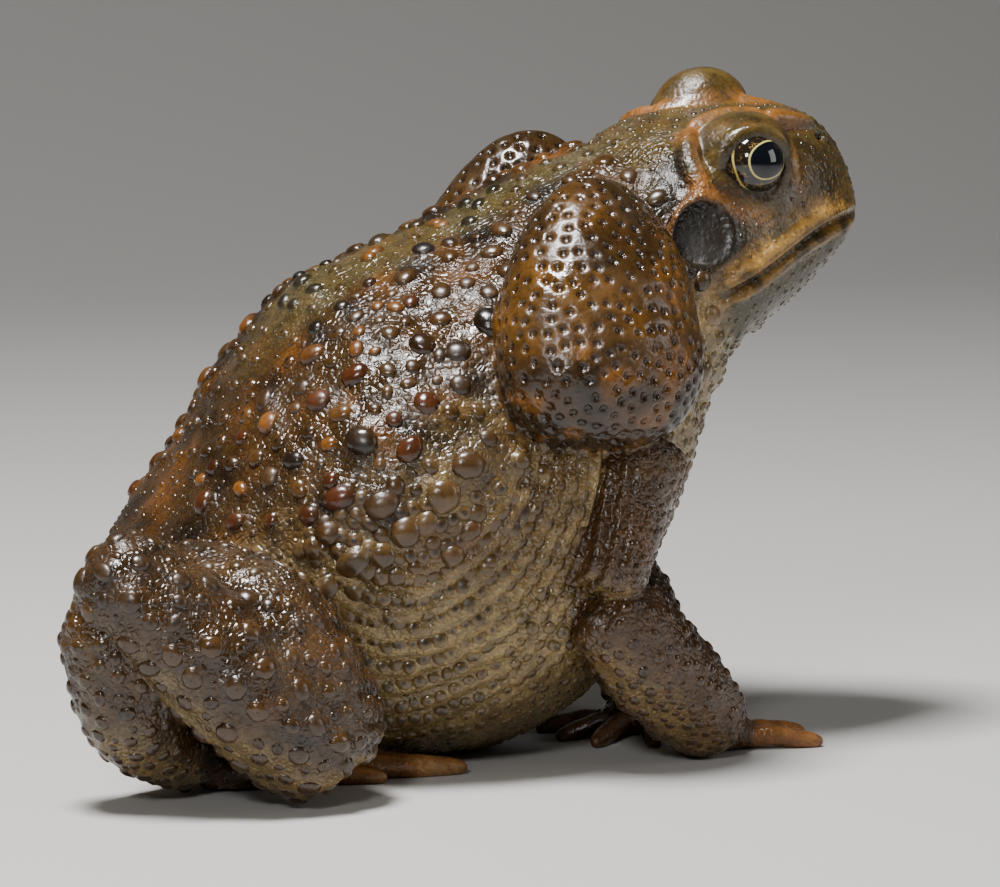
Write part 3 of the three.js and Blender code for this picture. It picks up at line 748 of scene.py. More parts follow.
def paint_skin(points, zone, facing_down=0.0):
    """The skin's colours, with painted shade in the mouth, nostrils, throat and under the glands, before the
    fine mottling of the material.
    """
    tint = np.zeros((len(points), 3))
    head = to_head(points)
    coarse, middling, fine = cloud(points, 9, 11), cloud(points, 4, 12), cloud(points, 1.8, 13)
    turn, t = np.abs(zone["turn"]), zone["t"]

    tint[:] = linear("limb")
    on = is_kind(zone, "trunk").astype(float)
    paint(tint, "flank", on)
    paint(tint, "back", on * ramp(92, 60, turn + (middling - 0.5) * 30))
    paint(tint, "back_dark", on * ramp(0.5, 0.72, coarse * 0.6 + middling * 0.4) * ramp(105, 60, turn) * 0.75)
    paint(tint, "orange", on * ramp(0.56, 0.8, cloud(points, 6, 14)) * ramp(80, 40, turn) * 0.6)
    paint(tint, "band", on * ramp(17, 9, turn + (middling - 0.5) * 10) * ramp(0.25, 0.4, t) * 0.85)
    low = ramp(48, 26, points[:, 2] + (coarse - 0.5) * 14) * on
    paint(tint, "crease", low * ramp(60, 90, turn) * 0.75)
    paint(tint, "crease", on * ramp(80, 100, turn) * ramp(10, 18, points[:, 0]) * 0.95)
    under = np.maximum(ramp(118, 140, turn), ramp(24, 10, points[:, 2]) * ramp(70, 95, turn))
    paint(tint, "belly", on * under * 0.9)
    paint(tint, "crease", on * ramp(48, 72, turn) * ramp(0.35, 0.75, fine) * 0.4)
    for along, round_by, reach in DARK_PATCHES:
        for side in (RIGHT, LEFT):
            middle = skin_point(TRUNK, np.array([along]), np.radians([round_by * side]), ROUND_ENDS)[0]
            apart = np.linalg.norm(points - middle, axis=1) + (middling - 0.5) * 3
            paint(tint, "dark", on * ramp(reach, reach * 0.45, apart) * 0.85)

    gland = is_kind(zone, "gland").astype(float)
    paint(tint, "gland", gland)
    paint(tint, "gland_orange", gland * ramp(0.45, 0.1, t) * (0.4 + 0.6 * coarse))
    paint(tint, "gland_dark", gland * ramp(0.5, 0.75, coarse * 0.5 + t * 0.6) * 0.75)
    # Darker towards the gland's foot: partly its own dark brown, partly painted shade under its overhang.
    paint(tint, "gland_dark", gland * ramp(0.42, 0.14, t + (coarse - 0.5) * 0.25) * 0.9)
    paint(tint, "gland_orange", gland * ramp(0.6, 0.8, middling) * ramp(0.7, 0.4, t) * 0.8)

    on = is_kind(zone, *HEAD_KINDS).astype(float)
    paint(tint, "head", on)
    paint(tint, "back_dark", on * ramp(0.5, 0.75, middling) * 0.5)
    paint(tint, "crest", on * ramp(0.62, 0.82, cloud(points, 1.5, 15)) * 0.3)
    paint(tint, "temple", on * ramp(0.58, 0.78, cloud(points, 1.3, 16)) * 0.6)
    paint(tint, "jaw", on * ramp(1, -4, head[:, 2]))
    # The throat is paled only a quarter: partly its own pale skin, partly kept darker as painted shade.
    paint(tint, "crease", on * ramp(-8, -16, head[:, 2]) * 0.25)
    for side in (RIGHT, LEFT):
        half = (side * head[:, 1] > 0) * np.maximum(on, is_kind(zone, "trunk") * ramp(-12, -6, head[:, 0]))
        lore = np.linalg.norm((head - mirrored(LORE_AT, side)) * (1, 1, 0.9), axis=1)
        paint(tint, "lore", half * ramp(8.5, 4, lore) * 0.85)
        paint(tint, "temple", half * ramp(4.2, 2.4, far_from(head, TEMPLE_AT, side)) * 0.8)
        drum = head - mirrored(EARDRUM_AT, side)
        outside = half * (side * head[:, 1] > 14)
        ring = np.hypot(drum[:, 0] * 0.85, drum[:, 2] * 0.85) / EARDRUM_RADIUS
        paint(tint, "temple", outside * ramp(1.75, 1.2, ring + (middling - 0.5) * 0.3) * 0.92)
        below = far_from(head, BELOW_DRUM, side) + (middling - 0.5) * 2
        paint(tint, "temple", half * ramp(7.4, 4.6, below) * 0.92)
        disc = np.hypot(drum[:, 0], drum[:, 2]) / EARDRUM_RADIUS
        paint(tint, "drum", outside * ramp(0.9, 0.7, disc) * 0.8)
        apart, _ = along_line(head, lip_line(side, 2.2))
        patchy = ramp(0.72, 0.42, middling * 0.5 + fine * 0.5)
        paint(tint, "lip", half * ramp(3.2, 1.9, apart) * patchy * 0.95)
        apart, _ = along_line(head, lip_line(side, -1.4))
        paint(tint, "lip", half * ramp(1.7, 0.9, apart) * ramp(0.62, 0.4, fine) * 0.7)
        paint(tint, "digit_pale", half * ramp(4.2, 2.6, far_from(head, JAW_CORNER, side)) * 0.8)
        apart, _ = along_line(head, lip_line(side, 0.0))
        # Painted shade: the slit of the mouth is painted near-black.
        paint(tint, "mouth", half * ramp(0.85, 0.35, apart))
        for name, (_, line) in CRESTS.items():
            strength = CREST_PAINT[name]
            apart, share = along_line(head, np.array([mirrored(at, side) for at in line]))
            if name == "canthal":
                strength = strength * ramp(0.1, 0.5, share)
            strength = strength * np.where(is_kind(zone, "lid"), 0.15, 1) * ramp(0.95, 1.15, disc)
            paint(tint, "crest", half * ramp(2.45, 1.6, apart + (middling - 0.5) * 0.9) * strength)
        paint(tint, "lip", half * ramp(2.9, 1.9, far_from(head, CUSHION_AT, side)) * 0.45)
        hole = far_from(head, NOSTRIL_AT + (0.6, 1.9, 0.5), side)
        # Painted shade: the nostril hole is painted near-black.
        paint(tint, "mouth", half * ramp(1.3, 0.7, hole))
        eye = head - mirrored(EYE_AT, side)
        around = np.hypot(eye[:, 0] / 5.6, eye[:, 2] / 5.2)
        outer = (side * eye[:, 1] > 0) & (np.linalg.norm(eye, axis=1) < 9)
        paint(tint, "limb_grey", half * outer * ramp(1.35, 1.15, around) * (eye[:, 2] < 0) * 0.8)
        paint(tint, "temple", half * outer * ramp(1.12, 0.98, around) * 0.85)

    limb = is_kind(zone, *LIMB_KINDS).astype(float)
    paint(tint, "limb_grey", limb * ramp(0.45, 0.75, coarse) * 0.5)
    paint(tint, "back_dark", limb * ramp(0.55, 0.8, middling) * 0.5)
    paint(tint, "forearm", is_kind(zone, "forearm", "upper_arm") * 0.75)
    paint(tint, "limb_grey", is_kind(zone, "upper_arm") * ramp(0.5, 0.2, t) * 0.4)
    paint(tint, "crease", limb * ramp(0.2, 0.75, facing_down) * 0.5)
    hand = is_kind(zone, "hand", "foot").astype(float)
    paint(tint, "forearm", hand * 0.8)
    digit = is_kind(zone, "digit").astype(float)
    paint(tint, "digit", digit * np.where((zone["side"] > 0) & (points[:, 0] > 5), 0.25, 0.9))
    paint(tint, "digit_pale", digit * ramp(0.45, 0.8, middling) * (points[:, 0] < 5) * 0.6)
    return tint


skin_tint = paint_skin(skin_points, skin_zone, -skin_normals[:, 2])

# How strongly granules and creases show on each form. On the others granules show at 1.0 and creases at 0.8.
RELIEF = {
    "head": (1.3, 0.25), "nostril": (1.3, 0.25), "lip": (1.3, 0.25), "lid": (0.7, 0.25), "crest": (0.7, 0.25),
    "lid_rim": (0.3, 0.25), "digit": (0.35, 0.45), "gland": (0.3, 0.12),
}


def relief_of(points, zone):
    """How strongly each point of skin shows granules, creases and gland pits, and how dry it is."""
    head = to_head(points)
    on_gland = is_kind(zone, "gland")
    granules = np.full(len(points), 1.0)
    creases = np.full(len(points), 0.8)
    for name, (grain, crease) in RELIEF.items():
        granules[is_kind(zone, name)] = grain
        creases[is_kind(zone, name)] = crease
    drum = np.minimum(*(far_from(head, EARDRUM_AT, side) for side in (RIGHT, LEFT))) < EARDRUM_RADIUS
    pits = np.zeros(len(points))
    for i in np.flatnonzero(on_gland):
        pits[i] = gland_pores.find(points[i])[2]
    pits = np.where(on_gland, ramp(0.95, 0.35, pits), 0)
    neck = ramp(6, 2, head[:, 0]) * ramp(-22, -14, head[:, 0]) * ramp(6, 10, head[:, 2])
    granules = np.maximum(granules, 1.6 * neck * ~on_gland)
    creases = np.maximum(creases, 0.9 * neck * ~on_gland)
    granules = np.where(on_gland, 0.3 + 0.7 * ramp(0.42, 0.2, zone["t"]), granules)
    granules[drum] = 0.3
    creases[drum] = 0.1
    dryness = np.where(is_kind(zone, *HEAD_KINDS), 0.1, 0.0)
    dryness = np.maximum(dryness, 0.12 * neck * ~on_gland)
    dryness[is_kind(zone, "digit")] = 0.12
    dryness = np.maximum(dryness, 0.12 * ramp(36, 16, points[:, 2]))
    dryness[drum] = 0.16
    return np.stack([granules, creases, pits, dryness], 1)


def evened(obj, values, rounds):
    """Values spread over neighbouring points, so that zones run into each other."""
    edges = np.empty(len(obj.data.edges) * 2, np.int32)
    obj.data.edges.foreach_get("vertices", edges)
    a, b = edges.reshape(-1, 2).T
    count = np.bincount(a, minlength=len(values)) + np.bincount(b, minlength=len(values)) + 1.0
    for _ in range(rounds):
        total = values.copy()
        for k in range(values.shape[1]):
            column = values[:, k]
            total[:, k] += np.bincount(a, column[b], len(column)) + np.bincount(b, column[a], len(column))
        values = total / count[:, None]
    return values


def write_colours(obj, name, values):
    """Keeps three or four values for each point as a point colour."""
    attribute = obj.data.color_attributes.new(name=name, type="FLOAT_COLOR", domain="POINT")
    rgba = np.ones((len(values), 4), np.float32)
    rgba[:, :values.shape[1]] = values
    attribute.data.foreach_set("color", rgba.ravel())


write_colours(skin, "tint", evened(skin, skin_tint, 1))
skin_relief = relief_of(skin_points, skin_zone)
skin_relief[:, (0, 1, 3)] = evened(skin, skin_relief[:, (0, 1, 3)], 5)
write_colours(skin, "relief", skin_relief)

skin.data.calc_loop_triangles()
corners = np.empty(len(skin.data.loop_triangles) * 3, np.int32)
skin.data.loop_triangles.foreach_get("vertices", corners)
corners = corners.reshape(-1, 3)
skin_shell = BVHTree.FromPolygons(skin_points.tolist(), corners.tolist())

VIEW_BACK = turned("Z", -VIEW_TURN) @ np.array((0, -math.cos(math.radians(VIEW_RAISE)),
                                                math.sin(math.radians(VIEW_RAISE))))
VIEW_RIGHT = turned("Z", -VIEW_TURN) @ np.array((1.0, 0, 0))
VIEW_UP = np.cross(VIEW_BACK, VIEW_RIGHT)
VIEW_FROM = VIEW_AIM + VIEW_BACK * VIEW_DISTANCE

# The mounds under the warts: how far out and how high they go as shares of the wart's radius, the least wart
# that has one, and how much of the mound's height lifts the wart.
MOUND_REACH = 1.9
MOUND_RISE = 0.36
LEAST_MOUND = 0.9
MOUND_LIFT = 0.92

# Every wart: its place, normal, radius, tone and height as a share of its radius.
warts = {"at": [], "normal": [], "radius": [], "tone": [], "height": []}
TONES = (*BIG_WARTS, "skin")
WART_HEIGHT = {"big": 0.5, "trunk": 0.44, "rows": 0.4, "limbs": 0.4}
LARGE_WART = 1.55


def add_wart(at, normal, radius, tone, height):
    warts["at"].append(np.array(at))
    warts["normal"].append(np.array(normal))
    warts["radius"].append(radius)
    warts["tone"].append(TONES.index(tone))
    warts["height"].append(height)


def place_big_warts():
    """The named warts where they are seen on the right side, and about the same on the left."""
    rng = np.random.default_rng(5)
    for tone, rows in BIG_WARTS.items():
        for across, above, radius in rows:
            ray = VIEW_AIM + VIEW_RIGHT * across + VIEW_UP * above - VIEW_FROM
            hit, normal, _, _ = skin_shell.ray_cast(Vector(VIEW_FROM), Vector(unit(ray)))
            if hit is None:
                continue
            add_wart(hit, normal, radius, tone, WART_HEIGHT["big"])
            zone = read_forms(np.array([hit]))
            if KINDS[zone["kind"][0]] != "trunk":
                continue
            t = np.clip(zone["t"] + rng.normal(0, 0.02), 0.05, 0.95)
            turn = np.radians(-zone["turn"] + rng.normal(0, 3.5))
            spot = skin_point(TRUNK, t, turn, ROUND_ENDS)[0]
            hit, normal, _, _ = skin_shell.find_nearest(Vector(spot))
            add_wart(hit, normal, radius * rng.uniform(0.85, 1.15), tone, WART_HEIGHT["big"])


def place_rows():
    """Rows of small warts along the folds of the lower flank."""
    rng = np.random.default_rng(8)
    for side in (RIGHT, LEFT):
        for row in range(ROWS["count"]):
            reach = ROWS["first"] + FOLD_STEP * row
            angle = -170.0
            while angle < -2:
                angle += math.degrees((ROWS["room"] + rng.uniform(-0.5, 0.6)) / reach)
                a = math.radians(angle)
                wide = reach + rng.normal(0, 0.35)
                x = FOLD_MIDDLE[0] + math.cos(a) * wide / FOLD_STRETCH[0]
                z = FOLD_MIDDLE[1] + math.sin(a) * wide / FOLD_STRETCH[1]
                if not (-34 < x < 22 and 3 < z < 50):
                    continue
                hit, normal, _, _ = skin_shell.ray_cast(Vector((x, side * 90, z)), Vector((0, -side, 0)))
                if hit is None:
                    continue
                zone = read_forms(np.array([hit]))
                if KINDS[zone["kind"][0]] != "trunk" or side * hit[1] < 6:
                    continue
                size = 1.45 - 0.55 * np.clip((reach - 40) / 40, 0, 1)
                add_wart(hit, normal, size * rng.uniform(0.8, 1.15), "skin", WART_HEIGHT["rows"])


# Wart sizes by form: least and greatest radius, and the room between neighbours as a share of their radii.
WART_SIZES = {
    "trunk": (0.55, 1.9, 1.34), "head": (0.34, 0.6, 1.8),
    "upper_arm": (0.5, 0.9, 1.12), "forearm": (0.6, 1.05, 1.12), "hand": (0.4, 0.7, 1.3),
    "thigh": (0.6, 1.25, 1.2), "shank": (0.65, 1.85, 1.3), "tarsus": (0.65, 1.3, 1.2),
    "foot": (0.5, 0.8, 1.3),
}


def wart_radius(zone, points, rng):
    """A radius for a wart at each place, and 0 where none grows."""
    radius = np.zeros(len(points))
    room = np.ones(len(points))
    luck = rng.random(len(points)) ** 2.8
    for name, (least, greatest, gap) in WART_SIZES.items():
        on = is_kind(zone, name)
        radius[on] = (least + (greatest - least) * luck)[on]
        room[on] = gap
    turn = np.abs(zone["turn"])
    trunk = is_kind(zone, "trunk")
    radius = np.where(trunk & (turn < 16), radius * 0.7, radius)
    room = np.where(trunk & (turn < 16), 1.9, room)
    belly = trunk & ((turn > 118) | (points[:, 2] < 14))
    radius = np.where(belly, 0.6 + 0.3 * luck, radius)
    room = np.where(belly, 1.25, room)
    in_rows = trunk & ~belly & (points[:, 2] < 50) & (points[:, 0] < 20) & (fold_reach(points) > 30)
    radius = np.where(in_rows, 0.4 + 0.3 * luck, radius)
    radius[in_rows & (rng.random(len(points)) < 0.5)] = 0
    head = to_head(points)
    smooth = is_kind(zone, "head") & (head[:, 0] > 6)
    radius[smooth & (rng.random(len(points)) < 0.35)] = 0
    for side in (RIGHT, LEFT):
        radius[far_from(head, EARDRUM_AT, side) < 7] = 0
        apart, _ = along_line(head, lip_line(side, 0.0))
        radius[apart < 2.6] = 0
        radius[far_from(head, EYE_AT, side) < 9.5] = 0
    strip = trunk & (turn > 78) & (points[:, 0] > 9) & (points[:, 0] < 19) & (points[:, 2] > 20)
    radius[strip] = 0
    radius[points[:, 2] < 1.0] = 0
    return radius, room


# The places that are tried for the small warts, and the cells that they are sorted into, in millimetres.
TRIED_PLACES = 42000
WART_CELL = 5.6


def fill_warts():
    """Warts over the rest of the skin, the largest first, none overlapping another."""
    rng = np.random.default_rng(21)
    a, b, c = (skin_points[corners[:, k]] for k in range(3))
    area = np.linalg.norm(np.cross(b - a, c - a), axis=1) / 2
    chosen = rng.choice(len(area), TRIED_PLACES, p=area / area.sum())
    share = rng.random((TRIED_PLACES, 2))
    share = np.where(share.sum(1, keepdims=True) > 1, 1 - share, share)
    at = a[chosen] + (b - a)[chosen] * share[:, :1] + (c - a)[chosen] * share[:, 1:]
    normal = unit(skin_normals[corners[chosen]].sum(1))
    zone = read_forms(at)
    radius, room = wart_radius(zone, at, rng)
    height = np.where(is_kind(zone, "trunk"), WART_HEIGHT["trunk"], WART_HEIGHT["limbs"])
    grid = {}

    def cell_of(point):
        return tuple(np.floor(point / WART_CELL).astype(int))

    def crowded(point, r, gap):
        x, y, z = cell_of(point)
        for dx, dy, dz in product((-1, 0, 1), repeat=3):
            for other, other_r in grid.get((x + dx, y + dy, z + dz), ()):
                if np.dot(point - other, point - other) < ((r + other_r) * gap) ** 2:
                    return True
        return False

    for point, r in zip(warts["at"], warts["radius"]):
        grid.setdefault(cell_of(point), []).append((point, r))
    for i in np.argsort(-radius, kind="stable"):
        r = radius[i]
        if r > 0 and not crowded(at[i], r, room[i]):
            grid.setdefault(cell_of(at[i]), []).append((at[i], r))
            add_wart(at[i], normal[i], r, "skin", height[i])


place_big_warts()
place_rows()
fill_warts()
for key in warts:
    warts[key] = np.array(warts[key])


def raise_mounds():
    """A soft mound of skin under each larger wart, and every dome lifted by the mound that it stands on."""
    reach = MOUND_REACH * warts["radius"]
    push = np.zeros(len(skin_points))
    skin_tree = search_tree(skin_points)
    for at, radius, far in zip(warts["at"], warts["radius"], reach):
        if radius < LEAST_MOUND:
            continue
        for _, number, apart in skin_tree.find_range(at, far):
            share = min(1, (far - apart) / (far - radius))
            push[number] = max(push[number], MOUND_RISE * radius * share * share * (3 - 2 * share))
    place(skin, skin_points + skin_normals * push[:, None])
    rise = np.array([push[skin_tree.find(at)[1]] for at in warts["at"]]) * MOUND_LIFT
    warts["at"] += warts["normal"] * rise[:, None]


raise_mounds()

# A dome's profile from near its top to its foot: share of its radius out and of its height up, how dark its
# tip is, and how much it takes the colour of the skin under it, which is darkened there as painted shade.
SMALL_DOME = np.array((
    (0.36, 0.93, 0.55, 0), (0.68, 0.72, 0, 0.05), (0.9, 0.4, 0, 0.35), (1.04, -0.05, 0, 0.7),
    (1.2, -0.95, 0, 0.95),
))
LARGE_DOME = np.array((
    (0.2, 0.98, 0.3, 0), (0.42, 0.9, 0.1, 0), (0.62, 0.77, 0, 0.04), (0.8, 0.57, 0, 0.12),
    (0.93, 0.32, 0, 0.3), (1.03, 0.02, 0, 0.55), (1.2, -0.9, 0, 0.9),
))


def build_warts(name, members, dome, sides):
    """One piece of many domes, each standing on the skin."""
    at, normal, radius, tone, height = (values[members] for values in warts.values())
    rng = np.random.default_rng(31)
    count = len(at)
    across = unit(np.cross(normal, unit(rng.normal(size=(count, 3)))))
    beside = np.cross(normal, across)
    stretch = rng.uniform(0.88, 1.16, count)
    ring_turn = np.arange(sides) * 2 * math.pi / sides
    points = [at + normal * (radius * height)[:, None]]
    for out, up in dome[:, :2]:
        for turn in ring_turn:
            wobble = rng.uniform(0.93, 1.07, count)
            points.append(at + across * (radius * out * math.cos(turn) * stretch * wobble)[:, None]
                          + beside * (radius * out * math.sin(turn) / stretch * wobble)[:, None]
                          + normal * (radius * height * up)[:, None])
    each = len(points)
    points = np.stack(points, 1).reshape(-1, 3)
    faces = [(0, 1 + k, 1 + (k + 1) % sides) for k in range(sides)]
    for ring in range(len(dome) - 1):
        low, high = 1 + ring * sides, 1 + (ring + 1) * sides
        faces += [(low + k, high + k, high + (k + 1) % sides, low + (k + 1) % sides) for k in range(sides)]
    all_faces = [tuple(i + n * each for i in face) for n in range(count) for face in faces]
    mesh = bpy.data.meshes.new(name)
    mesh.from_pydata(((points + SHIFT) * MM).tolist(), [], all_faces)
    obj = bpy.data.objects.new(name, mesh)
    bpy.context.scene.collection.objects.link(obj)

    zone = read_forms(at)
    ground = paint_skin(at, zone)
    own = ground.copy()
    trunk = is_kind(zone, "trunk")
    skinlike = tone == TONES.index("skin")
    pale = np.clip((ground.mean(1) - 0.12) / 0.2, 0, 1)
    brownness = skinlike * (0.55 + 0.2 * rng.random(count)) * np.where(trunk, 1, 0.35)
    paint(own, "brown", brownness * (1 - 0.2 * pale))
    for word in BIG_WARTS:
        paint(own, word, (tone == TONES.index(word)) * 0.85)
    own *= rng.uniform(0.75, 1.2, count)[:, None]
    levels = np.repeat(range(len(dome) + 1), [1] + [sides] * len(dome))
    blend = np.concatenate(((0,), dome[:, 3]))[levels]
    # Towards its foot a dome takes the skin's colour darkened to 0.7: painted shade where it meets the skin.
    tints = own[:, None] * (1 - blend[None, :, None]) + ground[:, None] * 0.7 * blend[None, :, None]
    write_colours(obj, "tint", tints.reshape(-1, 3))
    tipped = np.where(skinlike, rng.uniform(0.8, 1, count) * (rng.random(count) < 0.85), 0.5)
    tipped *= np.where(trunk | is_kind(zone, "shank", "thigh", "tarsus", "forearm"), 1, 0.4)
    relief = np.zeros((count, each, 3))
    relief[:, :, 0] = tipped[:, None] * np.concatenate(((1,), dome[:, 2]))[levels][None]
    relief[:, :, 1] = blend[None]
    write_colours(obj, "relief", relief.reshape(-1, 3))
    select_only(obj)
    bpy.ops.object.shade_smooth()
    return obj


wart_zone = read_forms(warts["at"])
on_body = is_kind(wart_zone, "trunk", "head", "lid", "crest", "gland")
large = warts["radius"] > LARGE_WART
on_right = warts["at"][:, 1] < 0
wart_pieces = [
    build_warts("warts_large", large, LARGE_DOME, sides=14),
    build_warts("warts_body_right", on_body & on_right & ~large, SMALL_DOME, sides=8),
    build_warts("warts_body_left", on_body & ~on_right & ~large, SMALL_DOME, sides=8),
    build_warts("warts_limbs", ~on_body & ~large, SMALL_DOME, sides=8),
]

# The eyes: the way the right and left one look, how far the clear front stands out, and the half widths and
# half heights of the pupil and the iris as shares of the eye's radius.
GAZE = (0.42, 1.0, 0.2)
CLEAR_FRONT = 0.035
PUPIL = (0.56, 0.46)
IRIS = (0.86, 0.84)


def build_eye(side):
    """One eyeball with its pole along its gaze, and its places across and up the front kept for the iris."""
    word = "right" if side == RIGHT else "left"
    obj, points = ball(f"eyeball_{word}", 96, 64)
    gaze = unit(mirrored(GAZE, side))
    level = unit(np.cross(UP, gaze))
    rise = np.cross(gaze, level)
    front = points[:, 2]
    bulge = 1 + CLEAR_FRONT * ramp(0.6, 1.0, front)
    facing = (points[:, :1] * level + points[:, 1:2] * rise + points[:, 2:] * gaze) * bulge[:, None]
    place(obj, from_head(facing * EYE_RADIUS + mirrored(EYE_AT, side)))
    write_colours(obj, "gaze", np.stack([points[:, 0] * 0.5 + 0.5, points[:, 1] * 0.5 + 0.5,
                                         np.clip(front, 0, 1)], 1))
    bpy.ops.object.shade_smooth()
    clear_selection()
    return obj


eyes = {side: build_eye(side) for side in (RIGHT, LEFT)}


class Sheet:
    """The nodes of one material or group, wired by name."""

    def __init__(self, tree):
        self.tree = tree

    def node(self, kind, **settings):
        made = self.tree.nodes.new(kind)
        for key, value in settings.items():
            setattr(made, key, value)
        return made

    def wire(self, source, target):
        self.tree.links.new(source, target)

    def put(self, target, value):
        if isinstance(value, bpy.types.NodeSocket):
            self.wire(value, target)
        else:
            target.default_value = value

    def maths(self, operation, a, b=0.0, clamp=False):
        made = self.node("ShaderNodeMath", operation=operation, use_clamp=clamp)
        self.put(made.inputs[0], a)
        self.put(made.inputs[1], b)
        return made.outputs[0]

    def band(self, value, low, high, to_low=0.0, to_high=1.0):
        made = self.node("ShaderNodeMapRange", interpolation_type="SMOOTHSTEP")
        for socket, number in zip(made.inputs, (value, low, high, to_low, to_high)):
            self.put(socket, number)
        return made.outputs[0]

    def mix(self, factor, a, b, blend="MIX"):
        made = self.node("ShaderNodeMix", data_type="RGBA", blend_type=blend)
        self.put(made.inputs["Factor"], factor)
        self.put([s for s in made.inputs if s.name == "A" and s.type == "RGBA"][0], a)
        self.put([s for s in made.inputs if s.name == "B" and s.type == "RGBA"][0], b)
        return [s for s in made.outputs if s.type == "RGBA"][0]

    def noise(self, where, scale, detail=2.0, roughness=0.5):
        made = self.node("ShaderNodeTexNoise")
        values = {"Vector": where, "Scale": scale, "Detail": detail, "Roughness": roughness}
        for socket, value in values.items():
            self.put(made.inputs[socket], value)
        return made.outputs["Fac"]

    def cells(self, where, scale, feature="F1"):
        made = self.node("ShaderNodeTexVoronoi", feature=feature)
        self.put(made.inputs["Vector"], where)
        self.put(made.inputs["Scale"], scale)
        return made.outputs["Distance"]


def rgba(name):
    return (*linear(name), 1.0)


# The grain of the skin: how many lumps, cells or waves there are to a metre.
GRAIN = {
    "bend": 260.0, "granules": 900.0, "pillows": 860.0, "mottle": 300.0, "broad": 90.0, "fine": 2600.0,
    "specks": 1000.0, "wet": 140.0,
}
BEND_AMOUNT = 0.0009


def wet_skin_group():
    """Granules, creases, mottling and wet patches that every piece of skin shares, with painted highlights on
    the granules and painted shade in the creases and pores.
    """
    group = bpy.data.node_groups.new("wet toad skin", "ShaderNodeTree")
    face = group.interface
    face.new_socket(name="Place", in_out="INPUT", socket_type="NodeSocketVector")
    face.new_socket(name="Tint", in_out="INPUT", socket_type="NodeSocketColor")
    for name in ("Granules", "Creases", "Pits", "Dryness"):
        face.new_socket(name=name, in_out="INPUT", socket_type="NodeSocketFloat")
    face.new_socket(name="Colour", in_out="OUTPUT", socket_type="NodeSocketColor")
    for name in ("Roughness", "Height"):
        face.new_socket(name=name, in_out="OUTPUT", socket_type="NodeSocketFloat")
    s = Sheet(group)
    inside = s.node("NodeGroupInput").outputs
    out = s.node("NodeGroupOutput").inputs
    where = inside["Place"]

    bend = s.node("ShaderNodeTexNoise")
    s.put(bend.inputs["Vector"], where)
    s.put(bend.inputs["Scale"], GRAIN["bend"])
    s.put(bend.inputs["Detail"], 1.0)
    amount = s.node("ShaderNodeVectorMath", operation="SCALE")
    s.wire(bend.outputs["Color"], amount.inputs[0])
    amount.inputs["Scale"].default_value = BEND_AMOUNT
    bent = s.node("ShaderNodeVectorMath", operation="ADD")
    s.wire(where, bent.inputs[0])
    s.wire(amount.outputs[0], bent.inputs[1])
    bent = bent.outputs[0]

    granule = s.band(s.cells(where, GRAIN["granules"]), 0.0, 0.6, 1.0, 0.0)
    edge = s.cells(bent, GRAIN["pillows"], "DISTANCE_TO_EDGE")
    pillow = s.maths("MULTIPLY", s.band(edge, 0.0, 0.3), inside["Creases"])
    crease = s.maths("MULTIPLY", s.band(edge, 0.0, 0.1, 1.0, 0.0), inside["Creases"])
    granule = s.maths("MULTIPLY", granule, inside["Granules"])
    pit = s.band(inside["Pits"], 0.25, 0.8)
    mottle = s.noise(where, GRAIN["mottle"], 3.0, 0.6)
    specks = s.noise(where, GRAIN["specks"], 2.0, 0.6)
    broad = s.noise(where, GRAIN["broad"])
    fine = s.noise(where, GRAIN["fine"])

    colour = s.mix(s.band(mottle, 0.36, 0.66, 0.0, 0.4), inside["Tint"], (0.0, 0.0, 0.0, 1.0))
    # Painted highlight: the tops of the raised granules are lightened.
    bright = s.mix(1.0, inside["Tint"], (1.55, 1.5, 1.35, 1.0), "MULTIPLY")
    colour = s.mix(s.maths("MULTIPLY", s.band(granule, 0.35, 0.9), 0.5), colour, bright)
    # Painted shade: the tint is darkened along the creases and in the pores; the specks darkened with it are
    # the skin's own.
    dark = s.mix(1.0, inside["Tint"], (0.3, 0.25, 0.22, 1.0), "MULTIPLY")
    colour = s.mix(s.maths("MULTIPLY", crease, 0.6), colour, dark)
    colour = s.mix(s.band(specks, 0.52, 0.68, 0.0, 0.5), colour, dark)
    # Painted shade in the pores of the glands.
    colour = s.mix(s.maths("MULTIPLY", pit, 0.85), colour, dark)
    colour = s.mix(s.band(broad, 0.5, 0.75, 0.0, 0.14), colour, rgba("orange"))
    s.wire(colour, out["Colour"])

    rough = s.band(s.noise(where, GRAIN["wet"]), 0.35, 0.65, 0.17, 0.36)
    s.wire(s.maths("ADD", rough, inside["Dryness"]), out["Roughness"])

    height = s.maths("ADD", s.maths("MULTIPLY", granule, 0.35), s.maths("MULTIPLY", pillow, 0.6))
    height = s.maths("SUBTRACT", height, s.maths("MULTIPLY", pit, 0.6))
    s.wire(s.maths("ADD", height, s.maths("MULTIPLY", fine, 0.08)), out["Height"])
    return group


wet_skin = wet_skin_group()


def new_material(name):
    material = bpy.data.materials.new(name)
    material.use_nodes = True
    material.node_tree.nodes.clear()
    sheet = Sheet(material.node_tree)
    shader = sheet.node("ShaderNodeBsdfPrincipled")
    sheet.wire(shader.outputs[0], sheet.node("ShaderNodeOutputMaterial").inputs["Surface"])
    return material, sheet, shader


# The wet film over the skin and over the warts, and how deep the grain is.
SKIN_COAT = 0.06
WART_COAT = 0.1
BUMP = {"strength": 0.9, "metres": 0.00026}


